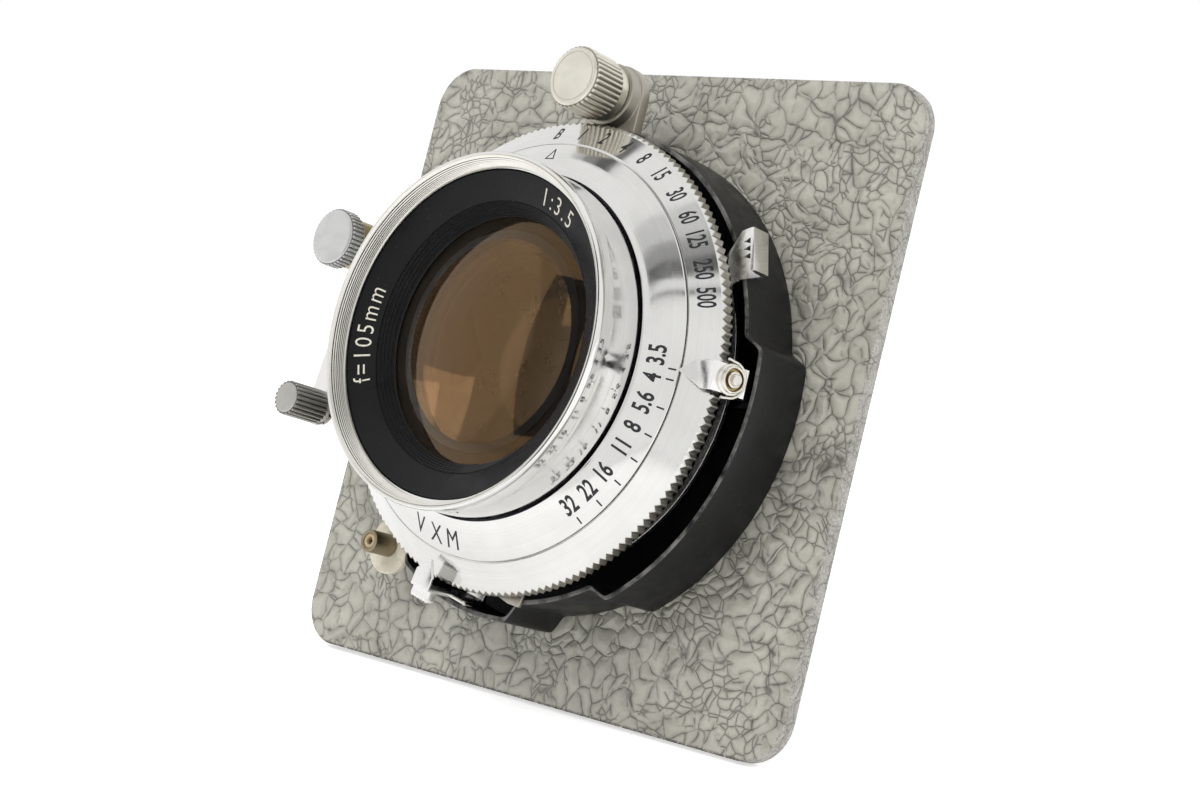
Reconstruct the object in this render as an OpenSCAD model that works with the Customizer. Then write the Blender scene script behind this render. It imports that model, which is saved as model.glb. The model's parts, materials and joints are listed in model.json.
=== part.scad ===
// Lens in a leaf shutter on a square lens board, for the front standard of a view camera.
// The lens axis is Y and the front faces -Y; +Z is up and +X is to the right of the board as seen
// from the front. The origin is on the lens axis, in the plane of the board's back face.
// Inside the modules each piece is drawn on its back: local Z is the height in front of that plane.

/* [Board] */
// Side of the square board
board_side = 80; // [78:0.5:90]
// Thickness of the board
board_t = 1.9; // [1.5:0.1:3]
// Corner radius of the board
board_corner_r = 5.5; // [3:0.5:8]
// Height of the lens hole above the middle of the board
hole_rise = 0.4; // [0:0.1:1]
// Width of the step that centres the shutter in the lens hole
hole_step = 1.1; // [0.9:0.05:1.3]
// Inset of the light-trap ridge from the board's edge
ridge_inset = 5; // [4:0.5:7]
// Width of the light-trap ridge
ridge_w = 1.6; // [1.2:0.1:2.5]
// Height of the light-trap ridge behind the board
ridge_h = 1.5; // [1:0.1:2.5]
// Depth of the bare spot face that the jam nut beds in
spot_depth = 0.1; // [0.05:0.05:0.3]

/* [Shutter case] */
// How far the case stands out beyond the speed ring
case_out = 0.45; // [0.3:0.05:0.7]
// How far the two lobes stand out beyond the case
lobe_out = 2.2; // [2.1:0.1:2.6]
// Wall of the case
case_wall = 0.6; // [0.5:0.05:0.7]
// Floor of the case
case_floor = 0.8; // [0.6:0.1:1.2]
// Angle over which the wall swells from the drum out to a lobe
lobe_ease = 4.5; // [3.5:0.5:6]
// Aperture lobe, first angle
lobe_a_from = -60; // [-62:0.5:-59]
// Aperture lobe, last angle
lobe_a_to = 13; // [12:0.5:14]
// Flash lobe, first angle
lobe_f_from = -123.5; // [-126:0.5:-121]
// Flash lobe, last angle
lobe_f_to = -80.5; // [-82:0.5:-79]
// Radius of the screws that hold case and core together
screw_r = 0.6; // [0.4:0.05:0.8]

/* [Shutter core] */
// Width of the blade chamber outside the lens hole
chamber_w = 4.55; // [4.45:0.05:4.9]
// Wall of the blade chamber
chamber_wall = 0.9; // [0.8:0.05:1]
// Floor of the blade chamber
core_floor = 0.8; // [0.6:0.1:1.2]
// Radius of the rear mounting tube
tube_r = 16.25; // [16.1:0.05:16.5]
// Length of the rear mounting tube behind the board
tube_len = 3.5; // [3.2:0.1:5]
// Wall of the rear mounting tube
tube_wall = 1.45; // [1.3:0.05:1.6]
// Clear radius of the shutter
aperture_r = 12.4; // [12:0.1:12.5]
// Room for the lever rings between core and speed ring
lever_room = 2.5; // [2.4:0.05:2.7]

/* [Blades] */
// Number of blades in the iris and in the shutter
blade_count = 5; // [5:1:5]
// Thickness of one blade
blade_t = 0.12; // [0.1:0.01:0.16]
// Distance from one blade's layer to the next
blade_pitch = 0.22; // [0.2:0.01:0.26]
// Distance of the blade pivots from the chamber's wall
pivot_inset = 0.8; // [0.7:0.05:0.9]
// Radius of a blade pivot
pivot_r = 0.35; // [0.3:0.01:0.4]
// Distance of an open blade from the clear aperture
blade_clear = 0.3; // [0.2:0.05:0.4]
// Distance from a blade's outer edge to its pivot
blade_ear = 0.7; // [0.65:0.05:0.8]
// Angle that a blade spans
blade_span_angle = 130; // [125:1:135]
// Turn of the shutter blades from open to closed
blade_shut_angle = 36.9; // [36:0.1:38]
// Thickness of the two drive rings
drive_t = 0.7; // [0.5:0.05:0.9]
// Distance of the drive rings' inner edge from the clear aperture
drive_inset = 5.5; // [5:0.1:6]
// Thickness of the plate between iris and shutter blades
mid_plate_t = 0.6; // [0.5:0.05:0.8]

/* [Speed ring] */
// Width of the speed ring
ring_w = 3.95; // [3.8:0.05:4.1]
// Depth of the knurl
knurl_depth = 0.4; // [0.3:0.05:0.5]
// Number of knurl teeth
knurl_count = 174; // [150:1:180]
// Width of the plain neck behind the knurl
ring_neck_w = 1.45; // [1:0.05:1.8]
// Width of the knurled edge
knurl_w = 1.35; // [1.2:0.05:1.6]
// Slope of the ring's face
ring_slope = 36.5; // [34:0.5:38]

/* [Face plate] */
// Width of the face plate inside the hub's edge
plate_w = 3.8; // [3.6:0.05:3.9]
// Width of the hub's flange under the speed ring
hub_flange_w = 1.6; // [1.4:0.1:1.8]
// Slope of the face plate
plate_slope = 30.5; // [28:0.5:32]
// Thickness of the face plate
plate_t = 0.6; // [0.5:0.05:0.8]
// Height of the hub
hub_h = 8; // [7.8:0.1:8.4]

/* [Front cell] */
// Gap between the barrel's foot and the face plate's inner edge
foot_gap = 0.5; // [0.4:0.05:0.6]
// How far the barrel's rim flares out beyond its foot
rim_flare = 0.45; // [0.3:0.05:0.6]
// Wall of the barrel round the filter thread
rim_wall = 1.25; // [1.1:0.05:1.4]
// Length of the barrel in front of the hub
barrel_len = 8.4; // [8.2:0.1:9]
// Depth of the filter thread
filter_depth = 2; // [1.8:0.1:2.2]
// Width of the name ring
name_w = 3.7; // [3.5:0.05:3.9]
// Rise of the name ring's face towards its outer edge
name_rise = 1.5; // [1:0.1:1.8]
// Width of the front glass's retainer
retainer_w = 1.45; // [1.3:0.05:1.6]
// Width of the front glass's rim under its retainer
glass_lip = 1.75; // [1.6:0.05:1.9]
// Number of grooves in the retainer's cone
groove_count = 5; // [4:1:6]
// Radius of curvature of the front glass
front_curve = 50; // [46:1:60]
// Wall of the threaded stems of the front and rear cells
stem_wall = 1.4; // [1.2:0.1:1.6]
// Width of the seats of the inner glasses
seat_ring = 1.1; // [0.9:0.1:1.3]

/* [Rear cell] */
// Length of the rear cell behind its flange
rear_len = 5.5; // [4.5:0.5:8]
// Step from the rear mounting tube in to the rear cell's flange
flange_step = 0.35; // [0.2:0.05:0.5]
// Step from the rear cell's flange in to its barrel
barrel_step = 0.8; // [0.6:0.1:1]
// Width of the jam nut
nut_w = 3.95; // [3.5:0.05:4.5]
// Thickness of the jam nut
nut_t = 2.4; // [2:0.1:3]
// Width of the jam nut's spanner slots
nut_slot = 2.2; // [1.8:0.1:2.6]

/* [Levers] */
// Thickness of the flat levers
lever_t = 0.6; // [0.5:0.05:0.7]
// Width of the aperture pointer
pointer_w = 3.3; // [3:0.1:3.6]
// Distance of the aperture pointer's tip from the speed ring's inner edge
pointer_tip_out = 0.45; // [0.35:0.05:0.8]
// Angle of the aperture pointer at full aperture
pointer_angle = 0.8; // [0:0.1:2]
// Travel of the aperture pointer to its smallest stop
pointer_travel = 48.3; // [46:0.1:49]
// Width of the flash lever
flash_w = 3.1; // [2.8:0.1:3.4]
// Angle of the flash lever
flash_angle = -101.3; // [-102:0.1:-101]
// Distance of the flash lever's tip from the speed ring's inner edge
flash_tip_out = 1.25; // [1.1:0.05:1.4]
// Length of the release lever's finger pad, along the lens axis
pad_len = 2.9; // [2.5:0.1:3.2]
// Width of the release lever's arm
release_w = 3.2; // [2.8:0.1:3.4]
// Width of the cocking lever's arm
cock_w = 4; // [3.6:0.1:4.2]
// Distance of the cocking lever's grip outside the case
grip_out = 6.55; // [6.45:0.05:6.8]
// Radius of the cocking lever's grip
grip_r = 2.25; // [2:0.05:2.4]
// Length of the cocking lever's grip
grip_len = 6; // [5.5:0.1:6.5]

/* [Knobs] */
// Radius of the upper knob
top_knob_r = 3.93; // [3.7:0.05:4.1]
// Distance of the upper knob's axis outside the case
top_knob_out = 3.9; // [3.9:0.1:4.7]
// Radius of the side knob
side_knob_r = 3.8; // [3.6:0.05:4]
// Distance of the side knob's axis outside the case
side_knob_out = 5.7; // [5.3:0.1:5.9]
// Angle of the side knob
side_knob_angle = 162.4; // [160:0.1:163]
// Height of the upper knob's face in front of the board's back
top_face_z = 19; // [18.5:0.1:19.5]
// Height of the side knob's face in front of the board's back
side_face_z = 20; // [19.5:0.1:20.5]
// Thickness of the lugs that carry the knobs
lug_t = 1.5; // [1.2:0.1:2]
// Radius of the studs that the knobs turn on
stud_r = 1.2; // [1:0.05:1.4]

/* [Flash socket] */
// Outer radius of the socket's tube
socket_r = 1.45; // [1.3:0.05:1.6]
// Length of the tube in front of its flange
socket_len = 3.8; // [3.5:0.1:4]
// Radius of the socket's insulating flange
socket_flange_r = 3.6; // [3.3:0.1:3.8]
// Distance of the socket's axis outside the case
socket_out = 4.3; // [4.3:0.1:4.6]
// Wall of the socket's tube
socket_wall = 0.5; // [0.4:0.05:0.6]
// Angle of the socket
socket_angle = -130; // [-131:0.5:-129]

/* [Hidden] */
$fn = 96;
// Fits and gaps
slip = 0.05;         // radial clearance of a turning or screwed fit
layer_gap = 0.3;     // height between two pieces that slide past each other
blade_gap = 0.15;    // height between a plate and the nearest blade
edge_gap = 0.15;     // gap at the edge of a piece that turns beside another
sink = 0.1;          // depth that a lug's foot is let into the case
eps = 0.01;

// Radii, from the rear mounting tube outwards
cell_bore_r = tube_r - tube_wall;
hole_r = tube_r + hole_step;
chamber_r = hole_r + chamber_w;
core_r = chamber_r + chamber_wall;
hub_r = core_r + lever_room;
ring_tip_r = hub_r + ring_w;
case_r = ring_tip_r + case_out;
lobe_r = case_r + lobe_out;
plate_in_r = hub_r - plate_w;
plate_out_r = hub_r + 2 * edge_gap;
foot_r = plate_in_r - foot_gap;
rim_r = foot_r + rim_flare;
filter_r = rim_r - rim_wall;
name_in_r = filter_r - name_w;
glass_clear_r = name_in_r - retainer_w;
front_glass_r = glass_clear_r + glass_lip;
hub_flange_r = hub_r + hub_flange_w;
drive_in_r = aperture_r + drive_inset;
nut_r = tube_r + nut_w;
rear_flange_r = tube_r - flange_step;
pivot_circle_r = chamber_r - pivot_inset;
blade_in_r = aperture_r + blade_clear;
blade_out_r = pivot_circle_r - blade_ear;
top_knob_at = case_r + top_knob_out;
side_knob_at = case_r + side_knob_out;
socket_at = case_r + socket_out;

// Heights in front of the board's back, from the board forwards
case_z = board_t;
core_z = case_z + case_floor;
iris_z = core_z + core_floor + blade_gap;
stack_h = (blade_count - 1) * blade_pitch + blade_t;
iris_ring_z = iris_z + stack_h + layer_gap + slip;
mid_z = iris_ring_z + drive_t + layer_gap;
shut_z = mid_z + mid_plate_t + blade_gap;
shut_ring_z = shut_z + stack_h + layer_gap + slip;
cock_z = shut_ring_z + drive_t + layer_gap;
release_z = cock_z + drive_t + layer_gap;
case_rim_z = release_z + lever_t;
arm_z = case_rim_z + edge_gap;             // where a lever's arm crosses the case's rim
arm_t = 0.45;
hub_z = release_z + lever_t + layer_gap;
hub_flange_t = 0.35;
ring_z = hub_z + hub_flange_t + edge_gap;
knurl_z = ring_z + ring_neck_w;
hub_top = hub_z + hub_h;
rim_z = hub_top + barrel_len;

// Radii that follow from the sizes above
ring_bore_r = hub_r + slip;
lobe_in_r = lobe_r - case_wall;
lever_ring_r = core_r + slip;
riser_t = 0.5;               // thickness of a lever's upright part
riser_r = lobe_in_r - riser_t;   // outer face of a lever that stands up through a lobe
ring_lip_r = plate_out_r + edge_gap;
pointer_tip_r = ring_lip_r + pointer_tip_out;
flash_tip_r = ring_lip_r + flash_tip_out;
stem_r = cell_bore_r - slip;
stem_in_r = stem_r - stem_wall;

// Face of the speed ring and of the face plate
plate_top_in = hub_top + plate_t;
plate_drop = (plate_out_r - plate_in_r) * tan(plate_slope);
ring_root_r = ring_tip_r - knurl_depth;
ring_neck_r = ring_root_r - 0.8;
ring_top_z = knurl_z + knurl_w + (ring_tip_r - ring_lip_r) * tan(ring_slope);

// Turns a piece from lying on its back to standing on the board, front to -Y.
module upright() rotate([90, 0, 0]) children();

// Ring about the lens axis, from radius r0 to r1 and from height z0 up by h.
module ring(r0, r1, z0, h) translate([0, 0, z0]) difference() {
    cylinder(r = r1, h = h);
    translate([0, 0, -1]) cylinder(r = r0, h = h + 2);
}

// Part of a ring between two angles.
module arc_bar(r0, r1, z0, h, from, to) rotate([0, 0, from])
    rotate_extrude(angle = to - from) translate([r0, z0]) square([r1 - r0, h]);

// Wedge of the plane between two angles, used to limit a shape to them.
module wedge(r, from, to) {
    steps = 8;
    polygon(concat([[0, 0]], [for (i = [0:steps]) let (a = from + (to - from) * i / steps)
        r / cos((to - from) / steps / 2) * [cos(a), sin(a)]]));
}

// Square plate with round corners, centred on the board.
module board_outline(inset) {
    side = board_side - 2 * inset;
    r = max(board_corner_r - inset, 1);
    translate([0, -hole_rise]) {
        square([side - 2 * r, side], center = true);
        square([side, side - 2 * r], center = true);
        for (x = [-1, 1], y = [-1, 1]) translate([x, y] * (side / 2 - r)) circle(r = r);
    }
}

module lens_board() upright() color("#a9a99d") difference() {
    union() {
        linear_extrude(board_t) board_outline(0);
        translate([0, 0, -ridge_h]) linear_extrude(ridge_h + eps) difference() {
            board_outline(ridge_inset);
            board_outline(ridge_inset + ridge_w);
        }
    }
    translate([0, 0, -1]) cylinder(r = hole_r, h = board_t + 2);
    translate([0, 0, -1]) cylinder(r = nut_r + 2 * edge_gap, h = 1 + spot_depth);
}

// Jam nut behind the board, with four slots for a spanner.
nut_back = spot_depth - nut_t;
module jam_nut() upright() color("#202022") difference() {
    ring(tube_r + slip, nut_r, nut_back, nut_t);
    for (a = [0:90:270]) rotate([0, 0, a])
        translate([nut_r - nut_slot * 0.65, -nut_slot / 2, nut_back - 1])
        cube([nut_slot, nut_slot, 1 + nut_t / 2]);
}

// Radius of the case's outside at an angle: a drum that swells smoothly into each lobe.
function eased(t) = let (c = min(max(t, 0), 1)) c * c * (3 - 2 * c);
function swell(a, from, to) = eased((a - from) / lobe_ease) * eased((to - a) / lobe_ease);
function case_radius(a) = case_r + (lobe_r - case_r)
    * (swell(a, lobe_a_from, lobe_a_to) + swell(a, lobe_f_from, lobe_f_to));
function beside_end(a) = min([for (end = [lobe_a_from, lobe_a_to - lobe_ease, lobe_f_from,
    lobe_f_to - lobe_ease]) abs(a + 1.5 - end - lobe_ease / 2)]) < lobe_ease / 2 + 1.5;
module case_outline(inset) polygon([for (a = [-180:3:177], i = [0:beside_end(a) ? 4 : 0])
    (case_radius(a + i * 0.6) - inset) * [cos(a + i * 0.6), sin(a + i * 0.6)]]);

screw_at = (hole_r + chamber_r) / 2;
module screw_places() for (a = [30:120:270]) rotate([0, 0, a]) translate([screw_at, 0]) children();

module shutter_case() upright() color("#1c1c1e") {
    translate([0, 0, case_z]) linear_extrude(case_floor) difference() {
        case_outline(0);
        circle(r = hole_r);
        screw_places() circle(r = screw_r * 2 + slip, $fn = 24);
    }
    translate([0, 0, core_z - eps]) linear_extrude(case_rim_z - core_z + eps) difference() {
        case_outline(0);
        case_outline(case_wall);
    }
}

module case_screws() upright() color("#8d8d8a") screw_places() {
    translate([0, 0, case_z]) cylinder(r = screw_r * 2, h = case_floor, $fn = 32);
    translate([0, 0, case_z]) cylinder(r = screw_r, h = case_floor + core_floor - 2 * slot_gap, $fn = 32);
}

// Pivot places of the blades, each with its own layer.
module pivots(z, base) for (i = [0:blade_count - 1]) rotate([0, 0, 360 / blade_count * i])
    translate([pivot_circle_r, 0, base]) cylinder(r = pivot_r, h = z + i * blade_pitch + blade_t - base);

arm_half_angle = 8;             // half the angle kept clear for the iris ring's arm in its slot
shutter_arm_half_angle = 6;     // and for the shutter ring's arm
slot_gap = 0.1;           // gap above and below an arm in its slot
mid_step = 0.2;           // ledge that the middle plate rests on
spacer_w = 1.4;           // width of the rings on the core's outside
module shutter_core() upright() color("#26262a") difference() {
    union() {
        ring(cell_bore_r, tube_r, -tube_len, tube_len + core_z);
        ring(cell_bore_r, hole_r - slip, board_t / 6, core_z - board_t / 6);
        ring(aperture_r + 2 * pivot_r - blade_clear, core_r, core_z, core_floor);
        ring(chamber_r, core_r, core_z, mid_z - core_z + eps);
        ring(chamber_r + mid_step, core_r, mid_z, hub_z - mid_z);
        ring(core_r - eps, core_r + spacer_w, core_flange_z, mid_plate_t);
        pivots(iris_z, core_z + core_floor - eps);
    }
    // slots for the arms of the iris ring and the shutter ring
    arc_bar(chamber_r - 1, core_r + 1, iris_ring_z - slot_gap, drive_t + 2 * slot_gap,
        pointer_angle - pointer_travel - arm_half_angle, pointer_angle + arm_half_angle);
    arc_bar(chamber_r - 1, core_r + 1, shut_ring_z - slot_gap, drive_t + 2 * slot_gap,
        shutter_arm_angle - release_travel - shutter_arm_half_angle,
        shutter_arm_angle + shutter_arm_half_angle);
    screw_places() translate([0, 0, core_z - 1])
        cylinder(r = screw_r + slip, h = 1 + core_floor - slot_gap, $fn = 32);
}

release_travel = 8;       // turn of the release lever from rest to fully pressed
shutter_arm_angle = 75;   // where the shutter ring's arm comes through the core

module front_hub() upright() color("#3a3a3c") rotate_extrude() polygon([
    [cell_bore_r, hub_z], [hub_flange_r, hub_z], [hub_flange_r, hub_z + hub_flange_t],
    [hub_r, hub_z + hub_flange_t], [hub_r, hub_top - (hub_r - plate_in_r) * tan(plate_slope)],
    [plate_in_r, hub_top], [cell_bore_r, hub_top]]);

module face_plate() upright() color("#e2e2e0") rotate_extrude() polygon([
    [plate_in_r, hub_top], [plate_out_r, hub_top - plate_drop],
    [plate_out_r, plate_top_in - plate_drop], [plate_in_r, plate_top_in]]);

// Speed ring: a cone for the numbers with a straight knurl cut through its edge, a smaller plain neck
// behind the knurl and a step under the face plate.
module speed_ring() upright() color("#dcdcda") difference() {
    step_z = hub_top - plate_drop - edge_gap;
    blank_r = ring_tip_r + 1;
    rotate_extrude() polygon([[ring_bore_r, ring_z], [ring_neck_r, ring_z], [ring_neck_r, knurl_z],
        [blank_r, knurl_z], [blank_r, ring_top_z - (blank_r - ring_lip_r) * tan(ring_slope)],
        [ring_lip_r, ring_top_z], [ring_lip_r, step_z], [ring_bore_r, step_z]]);
    translate([0, 0, ring_z]) linear_extrude(ring_top_z - ring_z) difference() {
        circle(r = blank_r + 1);
        polygon([for (i = [0:2 * knurl_count - 1]) let (a = 180 / knurl_count * i)
            (i % 2 == 0 ? ring_tip_r : ring_root_r) * [cos(a), sin(a)]]);
    }
}

// Barrel of the front cell: stem in the hub, neck, polished outside and bore for filters.
seat_z = rim_z - filter_depth;             // floor of the filter bore
name_z = seat_z - 0.1;                     // outer edge of the name ring's face
name_in_z = name_z - name_rise;            // inner edge of the name ring's face
name_foot_z = name_in_z - 0.5;
front_glass_top = name_in_z + 0.25;        // crown of the front glass
function sag(curve, r) = sign(curve) * (abs(curve) - sqrt(curve * curve - r * r));
glass_edge = 0.54;                         // thickness of the front glass at its edge
glass_seat_z = front_glass_top - sag(front_curve, front_glass_r) - glass_edge;
module front_barrel() upright() color("#d9dadc") rotate_extrude() polygon([
    [stem_in_r, hub_z - 0.8], [stem_r, hub_z - 0.8], [stem_r, hub_top], [foot_r - 0.6, hub_top],
    [foot_r - 0.6, plate_top_in + 0.3], [foot_r, plate_top_in + 0.4], [rim_r - 0.25, rim_z - 1.6],
    [rim_r, rim_z - 0.9], [rim_r, rim_z - 0.2], [rim_r - 0.2, rim_z], [filter_r + 0.15, rim_z],
    [filter_r, rim_z - 0.15], [filter_r, seat_z], [filter_r - 0.25, seat_z],
    [filter_r - 0.25, name_foot_z], [front_glass_r + slip, name_foot_z],
    [front_glass_r + slip, glass_seat_z], [stem_in_r, glass_seat_z]]);

module name_ring() upright() color("#151517") rotate_extrude() polygon([
    [name_in_r, name_foot_z], [filter_r - 0.3, name_foot_z], [filter_r - 0.3, name_z],
    [name_in_r, name_in_z]]);

// Retainer of the front glass: a cone with fine grooves that keep stray light down.
retainer_lip_z = front_glass_top - sag(front_curve, glass_clear_r);
module front_retainer() upright() color("#1a1a1c") {
    top = [name_in_r - slip, name_in_z - 0.05];
    low = [glass_clear_r, retainer_lip_z + 0.2];
    step = (top - low) / groove_count;
    rotate_extrude() polygon(concat(
        [[glass_clear_r, retainer_lip_z], [front_glass_r, retainer_lip_z],
            [front_glass_r, name_foot_z], [name_in_r - slip, name_foot_z]],
        [for (i = [0:groove_count - 1]) each [top - i * step, top - (i + 0.75) * step - [-0.12, 0.12]]],
        [low]));
}

// Lens with a curve on each face, positive where it bulges, and a flat seat round each rim.
// z_back and z_front are the heights of the flat seats.
module lens(r, seat_r, z_back, curve_back, z_front, curve_front) {
    steps = 10;
    rotate_extrude() polygon(concat(
        [for (i = [0:steps]) let (x = seat_r * i / steps)
            [x, z_back - sag(curve_back, seat_r) + sag(curve_back, x)]],
        [[r, z_back], [r, z_front]],
        [for (i = [steps:-1:0]) let (x = seat_r * i / steps)
            [x, z_front + sag(curve_front, seat_r) - sag(curve_front, x)]]));
}

second_r = stem_in_r - slip;
second_seat_r = second_r - seat_ring;
second_z = hub_z + 0.8;
second_edge = 5.2;
inner_curve = 300;                         // back of the front glass
second_back_curve = -40;
second_front_curve = -60;
module front_glass() upright() color("#b98b52", 0.5) rotate_extrude() polygon(concat(
    [for (i = [0:8]) let (x = second_seat_r * i / 8)
        [x, glass_seat_z - sag(inner_curve, second_seat_r) + sag(inner_curve, x)]],
    [[front_glass_r, glass_seat_z], [front_glass_r, glass_seat_z + glass_edge]],
    [for (i = [11:-1:0]) let (x = front_glass_r * i / 12) [x, front_glass_top - sag(front_curve, x)]]));

module second_glass() upright() color("#c9a066", 0.5)
    lens(second_r, second_seat_r, second_z, second_back_curve, second_z + second_edge, second_front_curve);

module glass_spacer() upright() color("#161618")
    ring(second_seat_r, second_r, second_z + second_edge, glass_seat_z - second_z - second_edge);

module inner_retainer() upright() color("#161618")
    ring(second_seat_r, second_r, hub_z - 0.7, second_z - hub_z + 0.7);

module mid_plate() upright() color("#303034") {
    ring(aperture_r, chamber_r + mid_step - slip, mid_z + eps, mid_plate_t);
    pivots(shut_z, mid_z + mid_plate_t);
}

// Iris ring with its arm out through the core, up through the lobe and over the speed ring.
pointer_z = ring_top_z + 0.15;             // underside of the pointer
shoulder_z = hub_z + 1.6;                  // where the riser steps out and starts to lean in
lean = 15;
lean_out = riser_r + 0.9;
function lean_x(z) = lean_out - (z - shoulder_z) * tan(lean);
module iris_ring() upright() color("#3c3c40") rotate([0, 0, pointer_angle]) {
    ring(drive_in_r, chamber_r - slip, iris_ring_z, drive_t);
    translate([drive_in_r + 1, -pointer_w / 2, iris_ring_z])
        cube([riser_r - drive_in_r - 1, pointer_w, drive_t]);
    rotate([90, 0, 0]) translate([0, 0, -pointer_w / 2]) linear_extrude(pointer_w) polygon([
        [riser_r - riser_t, iris_ring_z], [riser_r, iris_ring_z], [riser_r, shoulder_z - 0.6],
        [lean_out, shoulder_z], [lean_x(pointer_z - 0.1), pointer_z - 0.1],
        [lean_x(pointer_z - 0.1) - riser_t, pointer_z - 0.1],
        [lean_out - riser_t - slip, shoulder_z + 0.15], [riser_r - riser_t, shoulder_z - 0.4]]);
}

// Pointer plate, clamped to the leaning part of the arm.
pointer_t = 0.4;
module aperture_pointer() upright() color("#e8e8e6") rotate([0, 0, pointer_angle]) {
    back = lean_x(pointer_z);
    foot_z = shoulder_z + 0.2;
    bend_z = pointer_z + pointer_t - 0.1;
    translate([0, 0, pointer_z]) linear_extrude(pointer_t) polygon([[pointer_tip_r, 0],
        [pointer_tip_r + pointer_w * 0.3, pointer_w * 0.36],
        [pointer_tip_r + pointer_w * 0.55, pointer_w / 2], [back, pointer_w / 2],
        [back, -pointer_w / 2], [pointer_tip_r + pointer_w * 0.58, -pointer_w / 2]]);
    rotate([90, 0, 0]) translate([0, 0, -pointer_w / 2]) linear_extrude(pointer_w) polygon([
        [back - 0.1, pointer_z + pointer_t], [lean_x(bend_z) + pointer_t, bend_z],
        [lean_x(foot_z) + pointer_t, foot_z], [lean_x(foot_z), foot_z],
        [back, pointer_z], [back - 0.1, pointer_z]]);
}

// Places a piece on the outside of the leaning plate, its axis square to it.
nut_z = (shoulder_z + pointer_z) / 2 + 0.3;
module on_lean() rotate([0, 0, pointer_angle])
    translate([lean_x(nut_z) + pointer_t, 0, nut_z]) rotate([0, 90 - lean, 0]) children();

// Stepped nut: washer, neck, hexagon and the end of the stud.
nut_outer_r = 2.05;
module pointer_nut() upright() color("#d8d4c6") on_lean() {
    cylinder(r = nut_outer_r, h = 0.4);
    cylinder(r = nut_outer_r * 0.78, h = 0.75);
    cylinder(r = nut_outer_r * 0.62, h = 1.15, $fn = 6);
    cylinder(r = nut_outer_r * 0.36, h = 1.5);
}

// Wire clip round the washer that keeps the nut from turning.
clip_wire_r = 0.24;
module pointer_clip() upright() color("#cfcfcc") on_lean() rotate([0, 0, 40])
    rotate_extrude(angle = 280) translate([nut_outer_r + clip_wire_r - 0.03, clip_wire_r])
    circle(r = clip_wire_r, $fn = 16);

// One blade: a band with an ear that turns on its pivot; layer and place follow its number.
module blade(number, z, turn) {
    layer = number - 1;
    rotate([0, 0, 360 / blade_count * layer]) translate([pivot_circle_r, 0, z + layer * blade_pitch])
    rotate([0, 0, turn]) translate([-pivot_circle_r, 0, 0]) difference() {
        union() {
            arc_bar(blade_in_r, blade_out_r, 0, blade_t, 0, blade_span_angle);
            translate([pivot_circle_r, 0, 0]) cylinder(r = pivot_r * 1.9, h = blade_t);
            translate([blade_out_r - blade_ear, 0, 0])
                cube([pivot_circle_r - blade_out_r + blade_ear, pivot_r * 1.9, blade_t]);
        }
        translate([pivot_circle_r, 0, -1]) cylinder(r = pivot_r + slip, h = 2);
    }
}

module iris_blade(number) upright() color("#55555a") blade(number, iris_z, 0);
module shutter_blade(number) upright() color("#6a6a70") blade(number, shut_z, blade_shut_angle);

shutter_arm_w = 2;        // width of the shutter ring's arm
module shutter_ring() upright() color("#3c3c40") {
    ring(drive_in_r, chamber_r + mid_step - slip, shut_ring_z, drive_t);
    rotate([0, 0, shutter_arm_angle]) translate([drive_in_r + 1, -shutter_arm_w / 2, shut_ring_z])
        cube([core_r + spacer_w - drive_in_r - 1, shutter_arm_w, drive_t]);
}

// Rings on the core's outside that keep the levers apart.
core_flange_z = mid_z - edge_gap;
flash_ring_z = core_flange_z + mid_plate_t + slot_gap;
module lower_spacer() upright() color("#4a4a4e") difference() {
    ring(core_r, core_r + spacer_w, flash_ring_z + lever_t + slot_gap,
        cock_z - flash_ring_z - lever_t - 2 * slot_gap);
    arc_bar(core_r - 1, core_r + spacer_w + 1, shut_ring_z - slot_gap, drive_t + 2,
        shutter_arm_angle - release_travel - shutter_arm_half_angle,
        shutter_arm_angle + shutter_arm_half_angle);
}

module upper_spacer() upright() color("#4a4a4e")
    ring(core_r, core_r + spacer_w, cock_z + drive_t + slip, layer_gap - 2 * slip);

// Flash synchroniser lever: ring, arm, riser, pointed blade and a serrated finger grip.
flash_z = pointer_z - 0.5;
grip_teeth = 6;
grip_depth = 1;           // depth of the finger grip outside the riser
grip_tooth = 0.35;        // depth of its serrations
plate_thin = 0.4;         // thickness of the lever's pointed end
flash_out = core_r + spacer_w + 1.2;
module flash_lever() upright() color("#e6e6e4") rotate([0, 0, flash_angle]) {
    ring(lever_ring_r, flash_out, flash_ring_z, lever_t);
    translate([flash_out - 1, -flash_w / 2, flash_ring_z])
        cube([riser_r - flash_out + 1, flash_w, lever_t]);
    translate([riser_r - riser_t, -flash_w / 2, flash_ring_z])
        cube([riser_t, flash_w, flash_z + plate_thin - flash_ring_z]);
    translate([0, 0, flash_z]) linear_extrude(plate_thin) polygon([[flash_tip_r, flash_w * 0.065],
        [flash_tip_r + flash_w * 0.65, flash_w / 2], [riser_r, flash_w / 2],
        [riser_r, -flash_w / 2], [flash_tip_r + flash_w * 0.55, -flash_w / 2]]);
    translate([0, 0, flash_z - 1.5]) linear_extrude(1.3) polygon(concat(
        [[riser_r - sink, flash_w / 2], [riser_r - sink, -flash_w / 2]],
        [for (i = [0:2 * grip_teeth]) [riser_r + grip_depth + (i % 2 == 0 ? 0 : grip_tooth),
            -flash_w / 2 + flash_w * i / (2 * grip_teeth)]]));
}

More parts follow.
